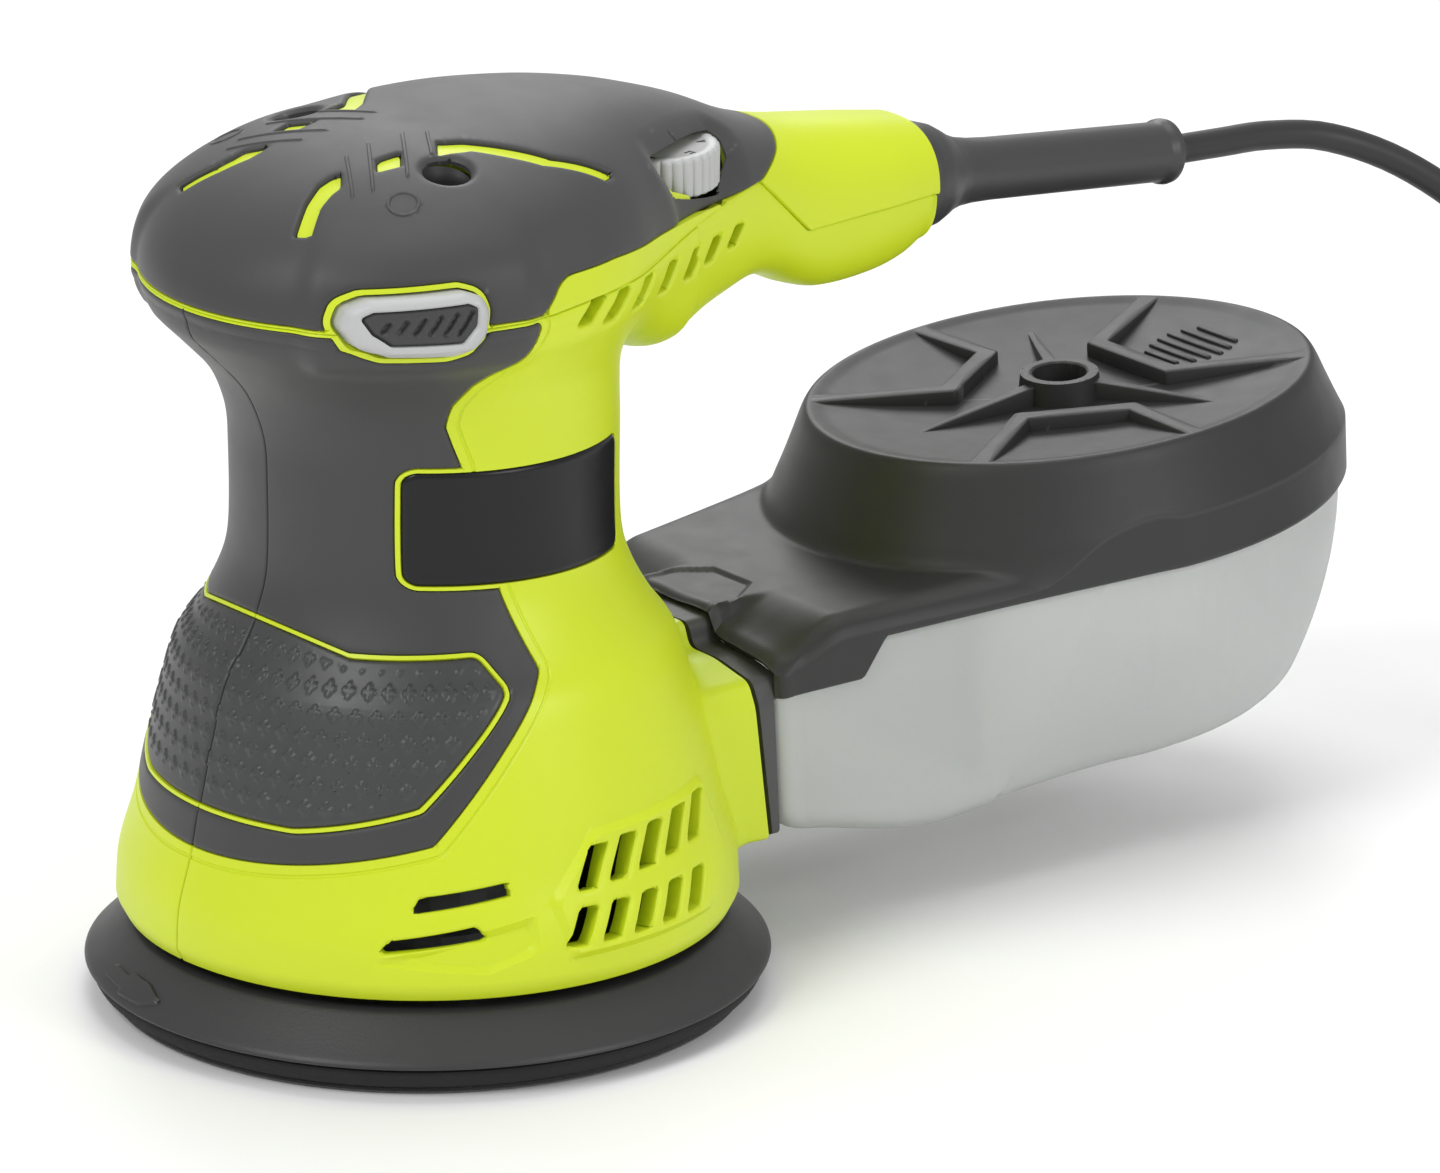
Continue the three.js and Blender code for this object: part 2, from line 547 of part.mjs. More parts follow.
// Plan outline of the box: straight sides opening from the port to a round end.
function boxPlan(inset, front) {
  const right = [[PORT.halfWidth - inset, front], [PORT.halfWidth - inset, 8], [38.4 - inset, 48],
    [46.2 - inset, 88]];
  const arc = Array.from({ length: 11 }, (_, i) => {
    const a = rad(-8 + i * (98 / 10));
    return [(BOX.halfWidth - inset) * Math.cos(a), BOX.centre + (BOX.endLength - inset) * Math.sin(a)];
  });
  const side = [...right, ...arc.slice(0, -1)];
  return [...side, [0, BOX.centre + BOX.endLength - inset], ...side.reverse().map(([x, y]) => [-x, y])];
}

// Lower down, the tub draws in towards its middle and its floor drops away from the port.
function tubForm(inset, front, top) {
  const floor = BOX.floor + inset;
  const shape = raised(boxPlan(inset, front), floor, top, 4);
  return solid(displaced(shape, (p) => {
    const depth = Math.max(BOX.rim - p.z, 0) / (BOX.rim - BOX.floor);
    const roundness = smoothstep(p.y, 10, 90);
    const sink = (PORT.low - BOX.floor + 0.6) * (1 - smoothstep(p.y, 0, 46)) * depth;
    p.x *= 1 - 0.24 * roundness * depth * depth;
    p.y -= (p.y > BOX.centre ? (p.y - BOX.centre) / BOX.endLength : 0) * 13 * depth * depth;
    p.z += sink;
  }));
}

function dustTub() {
  const outside = union(tubForm(0, 3.7, BOX.rim), rod(24, -31, -20, 0, BOX.centre, 32));
  const inside = union(tubForm(1.8, 5, 30), rod(22, -29, -20, 0, BOX.centre, 32));
  const mouth = block(-28, 28, -5, 12, -12.5, 30);
  const shoulder = block(-60, 60, -5, 24, 12, 30);
  piece('dust_tub', cut(outside, inside, mouth, shoulder), TUB, dustBox);
}

// An upright elliptical drum whose radius follows [scale, height] points.
function drum(profile, halfWidth, halfLength) {
  const points = [[0, profile[0][1]], ...profile, [0, profile.at(-1)[1]]];
  const lathe = new THREE.LatheGeometry(points.map(([r, z]) => new THREE.Vector2(r, z)), 32);
  return solid(lathe.rotateX(Math.PI / 2).scale(halfWidth, halfLength, 1).translate(0, BOX.centre, 0));
}

// Ribs in the dished top of the lid: three chevrons open towards the rim, a fin opposite each, and a hub.
function lidRibs() {
  const [low, high] = [40.6, TURRET.top + 0.2];
  const chevron = [block(-12.4, 12.4, 18.2, 21.6, low, high)];
  for (const side of [-1, 1]) {
    const leg = block(-1.7, 1.7, 0, 40, low, high).rotate([0, 0, -28 * side]);
    chevron.push(leg.translate([11.4 * side, 18.8, 0]));
  }
  const sector = union(...chevron, block(-1.3, 1.3, -40, -6, low, high - 0.5));
  const sectors = [0, 120, 240].map((heading) => sector.rotate([0, 0, heading]));
  return union(rod(8.5, low, TURRET.hub, 0, 0, 24), ...sectors).translate([0, BOX.centre, 0]);
}

function lidPieces() {
  const deck = solid(raised(boxPlan(-1.4, 3.1), BOX.rim + GAP, 25.4));
  const skirts = solid(raised(boxPlan(-1.4, 3.1), 12.3, 21)).intersect(block(-60, 60, 0, 24, 12, 22));
  const turret = drum([[1.1, 24], [1.08, 27], [1.0, 41.5], [0.965, TURRET.top - 0.6], [0.93, TURRET.top],
    [0.6, 43], [0.25, 41.6]], TURRET.halfWidth, TURRET.halfLength);
  const hollow = union(drum([[1.05, 10], [1.03, 26], [0.95, 39], [0.9, 39.6]], TURRET.halfWidth,
    TURRET.halfLength), solid(raised(boxPlan(1.6, 5), 5, 23.2)));
  const neckCrest = solid(raised([[-12, 3.1], [12, 3.1], [20, 44], [-20, 44]], 22, 27.6));
  const ribs = lidRibs().intersect(drum([[0.94, 40], [0.94, 60]], TURRET.halfWidth, TURRET.halfLength));
  const outside = union(deck, skirts, neckCrest, turret, ribs);
  piece('dust_lid', cut(outside, hollow, rod(5.6, 41.5, 60, 0, BOX.centre, 20)), LID, dustBox);
}

function filterPieces() {
  const frame = cut(block(-31, 31, 52, 55, -17, 17), block(-27, 27, 50, 60, -13, 13));
  piece('filter_frame', frame, BLACK, dustBox);
  const pleats = 13;
  const front = Array.from({ length: pleats * 2 + 1 }, (_, i) => [-26 + i * 2, i % 2 ? 65 : 56]);
  const back = front.map(([x, y]) => [x, y + 1.6]).reverse();
  piece('filter_element', solid(raised([...front, ...back], -13, 13)), PAPER, dustBox);
}

dustTub();
lidPieces();
filterPieces();

// ---------------------------------------------------------------- cord, coil and plug
// The route from the boot down to the floor and into the coil, chosen by hand.
const CORD_ROUTE = [
  [0, 188.9, 132.7], [0, 202, 131.9], [0, 215, 131], [2.2, 229, 128.6], [9.5, 242, 122.8],
  [20.5, 252.5, 113.2], [32.5, 259.5, 101], [43.5, 263.5, 86.5], [51.6, 265, 70.5], [56.4, 264.5, 54.5],
  [58.7, 263.4, 42], [61, 262.8, 30.8], [65, 262.5, 20.4], [67.4, 262.5, 16.4],
];

function cordTube() {
  const path = new THREE.CatmullRomCurve3(CORD_ROUTE.map((p) => new THREE.Vector3(...p)));
  const circle = new THREE.Shape().absarc(0, 0, CORD_RADIUS, 0, Math.PI * 2);
  const tube = new THREE.ExtrudeGeometry(circle, {
    steps: 22, curveSegments: 5, bevelEnabled: false, extrudePath: path });
  piece('cord_tube', solid(tube), CORD);
}

function plugPieces() {
  const length = 36;
  const grip = displaced(new THREE.CylinderGeometry(1, 1, length, 24, 6), (p) => {
    const wide = through([[-18, 3.6], [-10, 7.5], [0, 12.5], [18, 17]])(p.y);
    const thick = through([[-18, 3.6], [-6, 6.2], [18, 6.6]])(p.y);
    p.x *= wide;
    p.z *= thick;
  });
  const plug = new THREE.Group();
  plug.position.set(PLUG.x, PLUG.y, PLUG.z);
  plug.rotation.z = rad(90);
  group.add(plug);
  piece('plug_body', solid(grip), CORD, plug);
  for (const [suffix, x] of [['right', 9.3], ['left', -9.3]]) {
    const pin = new THREE.CylinderGeometry(2, 2, 19, 14).translate(x, length / 2 + GAP + 9.5, 0);
    piece(`plug_pin_${suffix}`, solid(pin), BRASS, plug);
  }
}

cordTube();

// The coiled length, with the last stretch of cord that leaves it for the plug.
function cordCoil() {
  const tail = new THREE.CylinderGeometry(CORD_RADIUS, CORD_RADIUS, 29.7, 12).rotateZ(Math.PI / 2)
    .translate(COIL.x - 14.85, PLUG.y, 8);
  const turns = ring(COIL.inner, COIL.outer, COIL.low, COIL.high, COIL.x, COIL.y, 32);
  piece('cord_coil', union(turns, solid(tail)), CORD);
}

cordCoil();
plugPieces();

export default group;
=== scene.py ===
"""Looks of a random-orbit palm sander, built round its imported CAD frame.

Lengths are in millimetres until a mesh is made, and +Y runs from the palm to the cord, as in the frame.
"""
import json
import math

import bpy
import numpy as np
from mathutils import Matrix, Vector


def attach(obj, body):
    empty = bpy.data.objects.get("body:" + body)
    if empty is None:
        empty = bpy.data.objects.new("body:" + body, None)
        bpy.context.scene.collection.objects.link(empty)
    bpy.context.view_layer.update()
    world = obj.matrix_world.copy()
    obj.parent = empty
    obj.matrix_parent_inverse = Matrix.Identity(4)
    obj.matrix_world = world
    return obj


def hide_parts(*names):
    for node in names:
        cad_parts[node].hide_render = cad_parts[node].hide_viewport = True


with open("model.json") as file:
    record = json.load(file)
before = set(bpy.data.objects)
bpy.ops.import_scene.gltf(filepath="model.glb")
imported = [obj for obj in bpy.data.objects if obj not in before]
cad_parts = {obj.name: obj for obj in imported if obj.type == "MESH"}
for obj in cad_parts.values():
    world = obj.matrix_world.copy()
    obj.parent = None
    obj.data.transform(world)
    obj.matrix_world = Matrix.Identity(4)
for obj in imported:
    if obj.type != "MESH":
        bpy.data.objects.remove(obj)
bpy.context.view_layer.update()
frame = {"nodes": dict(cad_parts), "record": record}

MM = 0.001

# ---------------------------------------------------------------- dimensions shared with the CAD source
BODY_BOTTOM = 17.4
PARTING = 148.4
PALM_CENTRE, PALM_HALF_LENGTH = -5, 52
TAIL_END = 117
PORT_Y, PORT_Z, PORT_HALF_WIDTH, PORT_LOW, PORT_SLOPE = 59, 40, 32, -16.5, 1 / 8
BOX_TILT, BOX_CENTRE, BOX_HALF_WIDTH, BOX_END, BOX_FLOOR, BOX_RIM = 3, 104, 48.3, 61, -25, 19.7
TURRET_HALF_WIDTH, TURRET_HALF_LENGTH, TURRET_TOP, HUB_TOP = 44.6, 56, 45, 46.4
BOOT_END_Y, BOOT_END_Z, BOOT_DROOP, BOOT_LENGTH = 188, 132.8, 6.4, 80.5
CORD_RADIUS = 3
PAD_X, PAD_Y = 0.919253, -0.771345
HOUSING_WALL = 3.2
SIDES = ((1, "right"), (-1, "left"))

BODY_PROFILE = [(59.4, BODY_BOTTOM), (60.8, 20), (60.2, 28), (57, 39), (54.6, 50), (51.3, 63),
                (48.6, 71.5), (44.4, 77.5), (41, 83.5), (38.6, 90), (37.8, 97), (37.8, 112),
                (38.2, 122), (39.6, 129.5), (43.6, 136.5), (47.5, 142), (49, 145)]
HANDLE_TOP = [(-5, 175.2), (8, 176.2), (20, 176.6), (33, 175.8), (45, 173.6), (54, 171), (63, 167.8),
              (72, 163.6), (78, 161.3), (86, 159.3), (95, 157.8), (106, 156), (TAIL_END, 154)]
HANDLE_HALF = [(-5, 48), (8, 46.6), (20, 42.4), (30, 36.5), (40, 31.2), (50, 26.6), (60, 22.6), (70, 19.6),
               (80, 17.6), (92, 16.6), (105, 15.8), (TAIL_END, 14.4)]
HANDLE_MIDDLE = [(-5, PARTING), (45, PARTING), (66, 147.5), (84, 142), (95, 141), (TAIL_END, 141)]
HANDLE_BOTTOM = [(-5, 134), (20, 134), (32, 128.6), (38, 124.6), (44, 122), (49, 122.2), (56, 124.8),
                 (64, 127.2), (72, 129.4), (78, 128.6), (84, 125.8), (92, 123.4), (104, 123.6),
                 (112, 125.4), (TAIL_END, 128.6)]

# Outlines in side view, as (y, z).
COVER_EDGE = [(-5, PARTING), (6, 149.4), (29, 149.9), (46, 151.8), (68, 154.2)]
COVER = [(-75, PARTING), *COVER_EDGE, (82, 140.6), (130, 141), (130, 200), (-75, 200)]
PALM_GRIP = [(-75, 149), (-16, 149), (-7.4, 148.8), (-5.6, 151), (-3.4, 154), (-1, 155.2), (12, 155.6),
             (40, 154), (57, 153.4), (68, 154), (76, 157.6), (84, 163), (84, 200), (-75, 200)]
GRIP = [(-75, 40), (-57, 40), (-46.4, 43), (-32.5, 47), (-6.3, 77), (-11, 95), (-15, 106), (-16.9, 117),
        (-20.4, 125.5), (-20.2, 130), (-18.2, 134.8), (-13.6, 139), (-9.6, 143.2), (-7.6, 147.8),
        (-75, 147.8)]
PANEL = [(-75, 48), (-50, 48.5), (-33.7, 54), (-14.4, 74.5), (-17.3, 80.5), (-36, 80), (-43, 84), (-75, 88)]
BADGE = [(-26.3, 93.5), (23.8, 92), (23.8, 115), (-26.3, 116)]
SWITCH_FACE = [(-45, 150.4), (-43.8, 154), (-40.5, 155.6), (-25, 156.4), (-21.6, 155.2), (-20.6, 152.2),
               (-21.2, 148), (-23.4, 144.9), (-27, 144), (-37.5, 144.3), (-42.6, 146.3)]
SWITCH_INSERT = [(-41.8, 152.2), (-39.8, 153.3), (-24.6, 154.2), (-22.8, 153.2), (-23.2, 150), (-25.6, 147),
                 (-37.4, 147), (-40.2, 149.2)]


# ---------------------------------------------------------------- curves and outlines
def through(points):
    """A smooth curve through (at, value) points, flat outside them."""
    at, value = np.array(points, float).T
    slope = np.empty_like(value)
    slope[1:-1] = (value[2:] - value[:-2]) / (at[2:] - at[:-2])
    slope[0] = (value[1] - value[0]) / (at[1] - at[0])
    slope[-1] = (value[-1] - value[-2]) / (at[-1] - at[-2])

    def curve(x):
        x = np.clip(x, at[0], at[-1])
        i = np.clip(np.searchsorted(at, x, side="right") - 1, 0, len(at) - 2)
        span, rise = at[i + 1] - at[i], value[i + 1] - value[i]
        t = (x - at[i]) / span
        bend = (1 - t) * (slope[i] * span - rise) - t * (slope[i + 1] * span - rise)
        return value[i] + t * rise + t * (1 - t) * bend
    return curve


def smoothstep(x, low, high):
    t = np.clip((x - low) / (high - low), 0, 1)
    return t * t * (3 - 2 * t)


def resampled(points, step):
    """Points about a step apart on a smooth curve through the given ones."""
    points = np.array(points, float)
    along = np.concatenate([[0], np.cumsum(np.linalg.norm(np.diff(points, axis=0), axis=1))])
    count = max(int(round(along[-1] / step)), len(points))
    at = np.linspace(0, along[-1], count + 1)
    return np.column_stack([through(np.column_stack([along, column]))(at) for column in points.T])


def divided(points, step):
    """Points about a step apart along straight runs, keeping every corner."""
    made = [points[0]]
    for a, b in zip(points, points[1:]):
        count = max(int(math.ceil(math.dist(a, b) / step)), 1)
        made += [tuple(np.array(a) + (np.array(b) - a) * i / count) for i in range(1, count + 1)]
    return made


def rounded(corners, radius, step=0.8):
    """A closed outline with each corner turned on an arc, as points about a step apart."""
    corners = np.array(corners, float)
    made = []
    for before, corner, after in zip(np.roll(corners, 1, 0), corners, np.roll(corners, -1, 0)):
        into, out = corner - before, after - corner
        room = min(np.linalg.norm(into), np.linalg.norm(out)) * 0.48
        into, out = into / np.linalg.norm(into), out / np.linalg.norm(out)
        cut_back = min(radius, room)
        for t in np.linspace(0, 1, 6):
            made.append((1 - t) ** 2 * (corner - into * cut_back) + 2 * t * (1 - t) * corner
                        + t * t * (corner + out * cut_back))
    return np.array(divided([tuple(p) for p in made] + [tuple(made[0])], step))[:-1]


def grown(corners, by):
    """An anticlockwise outline with every edge moved outwards."""
    corners = np.array(corners, float)
    along = np.roll(corners, -1, 0) - corners
    along /= np.linalg.norm(along, axis=1)[:, None]
    before = np.roll(along, 1, 0)
    turn = 1 + (before * along).sum(1)
    shift = np.column_stack([before[:, 1] + along[:, 1], -before[:, 0] - along[:, 0]])
    return corners + by * shift / turn[:, None]


def outline_rule(corners, radius=0.0, axes=(1, 2)):
    """Signed distance to an outline in the plane of two axes, negative inside, with round corners."""
    corners = np.array(corners, float)
    edges = np.roll(corners, -1, 0) - corners
    if np.cross(edges, np.roll(edges, -1, 0)).sum() < 0:
        corners = corners[::-1]
    ring = grown(corners, -radius) if radius else corners

    def rule(points):
        q = points[:, axes]
        nearest = np.full(len(q), np.inf)
        inside = np.zeros(len(q), bool)
        for a, b in zip(ring, np.roll(ring, -1, 0)):
            edge, w = b - a, q - a
            t = np.clip(w @ edge / (edge @ edge), 0, 1)
            nearest = np.minimum(nearest, np.hypot(*(w - t[:, None] * edge).T))
            if a[1] != b[1]:
                spans = (a[1] > q[:, 1]) != (b[1] > q[:, 1])
                inside ^= spans & (q[:, 0] < edge[0] * (q[:, 1] - a[1]) / edge[1] + a[0])
        return np.where(inside, -nearest, nearest) - radius
    return rule


def any_of(*rules):
    return lambda points: np.minimum.reduce([rule(points) for rule in rules])


def all_of(*rules):
    return lambda points: np.maximum.reduce([rule(points) for rule in rules])


def apart_from(rule, gap=0.0):
    return lambda points: gap - rule(points)


def disc(x, y, radius, axes=(0, 1)):
    return lambda points: np.hypot(points[:, axes[0]] - x, points[:, axes[1]] - y) - radius


def mirrored(rule):
    """The same rule for both sides of the machine."""
    return lambda points: rule(np.abs(points * [1, 0, 0]) + points * [0, 1, 1])


# ---------------------------------------------------------------- surfaces
class Skin:
    """An open or closed surface. Each point keeps the normal of the smooth form, and how far it sinks."""

    def __init__(self, points, faces, normals=None, sink=None):
        self.points, self.faces = np.asarray(points, float), np.asarray(faces)
        self.normals = smooth_normals(self.points, self.faces) if normals is None else normals
        self.sink = np.zeros(len(self.points)) if sink is None else sink

    def placed(self):
        return self.points - self.normals * self.sink[:, None]


def face_normals(points, faces):
    a, b, c = points[faces[:, 0]], points[faces[:, 1]], points[faces[:, 2]]
    return np.cross(b - a, c - a)


def unit(vectors):
    return vectors / np.maximum(np.linalg.norm(vectors, axis=1), 1e-12)[:, None]


def smooth_normals(points, faces):
    normals = np.zeros_like(points)
    flat = face_normals(points, faces)
    for corner in range(3):
        np.add.at(normals, faces[:, corner], flat)
    return unit(normals)


def edges_of(faces, count):
    """Both ends of every edge, and which edge each side of a face is."""
    ends = np.stack([faces, np.roll(faces, -1, 1)], axis=2)
    keys, index = np.unique(ends.min(2).astype(np.int64) * count + ends.max(2), return_inverse=True)
    return keys // count, keys % count, index.reshape(-1, 3)


def tidy(skin, faces):
    """The skin of some faces, without the points that none of them uses."""
    used, index = np.unique(faces, return_inverse=True)
    return Skin(skin.points[used], index.reshape(-1, 3), skin.normals[used], skin.sink[used])


def welded(skin):
    """The skin with points at the same place made one, so that parts cut on their own join up again."""
    _, first, index = np.unique(np.round(skin.points, 4), axis=0, return_index=True, return_inverse=True)
    faces = index.ravel()[skin.faces]
    flat = (faces[:, 0] == faces[:, 1]) | (faces[:, 1] == faces[:, 2]) | (faces[:, 2] == faces[:, 0])
    return Skin(skin.points[first], faces[~flat], skin.normals[first], skin.sink[first])


SNAP = 0.02


def cut(skin, rule, level=0.0):
    """Splits the faces that a rule's level line crosses, so that edges run along it."""
    value = rule(skin.points) - level
    value[np.abs(value) < SNAP] = 0
    count, faces = len(skin.points), skin.faces
    a, b, index = edges_of(faces, count)
    crossed = value[a] * value[b] < 0
    if not crossed.any():
        return skin
    new_id = np.full(len(a), -1)
    new_id[crossed] = count + np.arange(crossed.sum())
    a, b = a[crossed], b[crossed]
    t = (value[a] / (value[a] - value[b]))[:, None]

    def mix(whole):
        return np.concatenate([whole, whole[a] + (whole[b] - whole[a]) * t])
    points, normals, sink = mix(skin.points), unit(mix(skin.normals)), mix(skin.sink[:, None])[:, 0]
    on_edge = new_id[index]
    hits = (on_edge >= 0).sum(1)
    made = [faces[hits == 0]]
    for k in range(3):
        v0, v1, v2 = faces[:, k], faces[:, (k + 1) % 3], faces[:, (k + 2) % 3]
        near, far = on_edge[:, k], on_edge[:, (k + 2) % 3]
        lone = (hits == 2) & (near >= 0) & (far >= 0)
        single = (hits == 1) & (near >= 0)
        for rows, triangles in ((lone, ((v0, near, far), (near, v1, v2), (near, v2, far))),
                                (single, ((v0, near, v2), (near, v1, v2)))):
            made += [np.column_stack(corners)[rows] for corners in triangles]
    return Skin(points, np.concatenate(made), normals, sink)


def kept(skin, rule):
    """The part of the skin where a rule is negative, cut cleanly along its edge."""
    skin = cut(skin, rule)
    centres = skin.points[skin.faces].mean(1)
    return tidy(skin, skin.faces[rule(centres) < 0])


def raised(skin, height):
    """The skin raised by one height, or by a height for each point."""
    return Skin(skin.points, skin.faces, skin.normals, skin.sink - height)


def carved(skin, rule, steps):
    """Sinks the skin by a depth that follows the distance from an edge, as (distance, depth) steps."""
    for distance, _ in steps:
        skin = cut(skin, rule, distance)
    distances, depths = zip(*steps)
    return raised(skin, -np.interp(rule(skin.points), distances, depths))


def halved(skin, times=1):
    """Splits every face in four."""
    for _ in range(times):
        count, faces = len(skin.points), skin.faces
        a, b, index = edges_of(faces, count)

        def mix(whole):
            return np.concatenate([whole, (whole[a] + whole[b]) / 2])
        m = count + index
        v = faces
        split = [np.column_stack(c) for c in ((v[:, 0], m[:, 0], m[:, 2]), (m[:, 0], v[:, 1], m[:, 1]),
                                              (m[:, 2], m[:, 1], v[:, 2]), (m[:, 0], m[:, 1], m[:, 2]))]
        sink = mix(skin.sink[:, None])[:, 0]
        skin = Skin(mix(skin.points), np.concatenate(split), unit(mix(skin.normals)), sink)
    return skin


EDGE_ROUND = [(-0.9, 0), (-0.5, 0.07), (-0.22, 0.22), (-0.06, 0.45), (0, 0.7)]


def eased(skin, rule):
    """Rounds the skin over towards the edge where a rule reaches zero."""
    return carved(skin, rule, EDGE_ROUND)


def along_x(skin, side):
    """The skin as it lies, to be thickened straight in along X."""
    placed = skin.placed()
    return Skin(placed, skin.faces, np.tile((float(side), 0.0, 0.0), (len(placed), 1)))


def thick(skin, depth):
    """A closed solid: the skin, the same skin moved in to a depth, and walls along every open edge."""
    outer = skin.placed()
    inner = skin.points - skin.normals * (skin.sink * 0 + depth)[:, None]
    count, faces = len(outer), skin.faces
    ends = np.concatenate([faces[:, [0, 1]], faces[:, [1, 2]], faces[:, [2, 0]]])
    keys = ends.min(1).astype(np.int64) * count + ends.max(1)
    _, first, times = np.unique(keys, return_index=True, return_counts=True)
    a, b = ends[first[times == 1]].T
    walls = np.concatenate([np.column_stack([b, a, a + count]), np.column_stack([b, a + count, b + count])])
    return np.concatenate([outer, inner]), np.concatenate([faces, faces[:, ::-1] + count, walls])


def moved(solid, shift=(0, 0, 0), turn=None):
    """A mesh turned by a matrix and then shifted."""
    points, faces = solid
    if turn is not None:
        points = points @ np.array(turn.to_3x3()).T
    return points + np.array(shift, float), faces


def joined(*solids):
    points, faces, count = [], [], 0
    for these, those in solids:
        points.append(these)
        faces.append(those + count)
        count += len(these)
    return np.concatenate(points), np.concatenate(faces)


def flipped(solid, sign=(-1, 1, 1)):
    """A mesh mirrored left to right."""
    return solid[0] * np.array(sign), solid[1][:, ::-1]


def grid(rows):
    """Faces between rings of points, each ring as long as the last."""
    count, length = len(rows), len(rows[0])
    i, j = np.meshgrid(np.arange(count - 1), np.arange(length), indexing="ij")
    a = i * length + j
    b = i * length + (j + 1) % length
    quads = np.stack([a, b, b + length, a + length], -1).reshape(-1, 4)
    return np.concatenate(rows), np.concatenate([quads[:, [0, 1, 2]], quads[:, [0, 2, 3]]])


def with_middle(points, faces, length, middle, at_end):
    """The mesh with a fan of faces from its first or last ring to a point in the middle."""
    first = len(points) - length if at_end else 0
    j = np.arange(length)
    here, after = first + j, first + (j + 1) % length
    fan = np.column_stack([here, after, np.full(length, len(points))])
    return np.concatenate([points, [middle]]), np.concatenate([faces, fan if at_end else fan[:, ::-1]])


def capped(rows):
    """Rings of points joined and closed at both ends with a point in the middle of the end ring."""
    points, faces = grid(rows)
    count, length = len(points), len(rows[0])
    j = np.arange(length)
    start = np.column_stack([np.full(length, count), (j + 1) % length, j])
    last = count - length
    end = np.column_stack([np.full(length, count + 1), last + j, last + (j + 1) % length])
    points = np.concatenate([points, [np.mean(rows[0], 0)], [np.mean(rows[-1], 0)]])
    return outward(points, np.concatenate([faces, start, end]))


def level_ring(plan, z):
    """A plan outline at a height."""
    return np.column_stack([plan, np.full(len(plan), z)])


def prism(plan, low, high):
    return capped([level_ring(plan, z) for z in (low, high)])


def outward(points, faces):
    """The same closed mesh with its faces turned outwards."""
    a, b, c = points[faces[:, 0]], points[faces[:, 1]], points[faces[:, 2]]
    volume = np.einsum("ij,ij->i", a, np.cross(b, c)).sum()
    return points, (faces if volume > 0 else faces[:, ::-1])


def lathe(profile, sides=128):
    """A profile of (radius, height) from axis to axis, turned about Z."""
    turn = np.linspace(0, 2 * math.pi, sides, endpoint=False)
    circle = np.column_stack([np.cos(turn), np.sin(turn)])
    rows = [level_ring(r * circle, z) for r, z in profile]
    return capped(rows)


# ---------------------------------------------------------------- Blender objects
def mesh_object(name, solid, smooth_angle=38):
    points, faces = solid
    mesh = bpy.data.meshes.new(name)
    mesh.from_pydata([], [], [])
    mesh.vertices.add(len(points))
    mesh.vertices.foreach_set("co", (points * MM).astype(np.float32).ravel())
    mesh.loops.add(faces.size)
    mesh.loops.foreach_set("vertex_index", faces.astype(np.int32).ravel())
    mesh.polygons.add(len(faces))
    mesh.polygons.foreach_set("loop_start", np.arange(0, faces.size, 3, dtype=np.int32))
    mesh.update(calc_edges=True)
    mesh.validate()
    mesh.shade_smooth()
    mesh.set_sharp_from_angle(angle=math.radians(smooth_angle))
    made = bpy.data.objects.new(name, mesh)
    bpy.context.scene.collection.objects.link(made)
    return made


def arrays_of(piece):
    """Points and triangles of an object with its modifiers applied, in millimetres."""
    shown = piece.evaluated_get(bpy.context.evaluated_depsgraph_get())
    mesh = shown.to_mesh()
    mesh.calc_loop_triangles()
    points = np.empty(len(mesh.vertices) * 3)
    faces = np.empty(len(mesh.loop_triangles) * 3, np.int32)
    mesh.vertices.foreach_get("co", points)
    mesh.loop_triangles.foreach_get("vertices", faces)
    shown.to_mesh_clear()
    return points.reshape(-1, 3) / MM, faces.reshape(-1, 3)


def combined(first, *others, operation="UNION"):
    """One closed mesh with others added to it or taken from it."""
    base = mesh_object("combine_base", first)
    tools = [mesh_object("combine_tool", other) for other in others]
    for tool in tools:
        step = base.modifiers.new("combine", "BOOLEAN")
        step.operation, step.object, step.solver = operation, tool, "MANIFOLD"
    result = arrays_of(base)
    for spare in (base, *tools):
        mesh = spare.data
        bpy.data.objects.remove(spare)
        bpy.data.meshes.remove(mesh)
    return result


def piece(name, solid, material, body, slot, replaces=(), smooth_angle=38):
    """A finished piece: its mesh, its material, the body it rides on and what it stands for."""
    made = mesh_object(name, solid, smooth_angle)
    made.data.materials.append(material)
    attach(made, body)
    if replaces:
        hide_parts(*replaces)
    return made


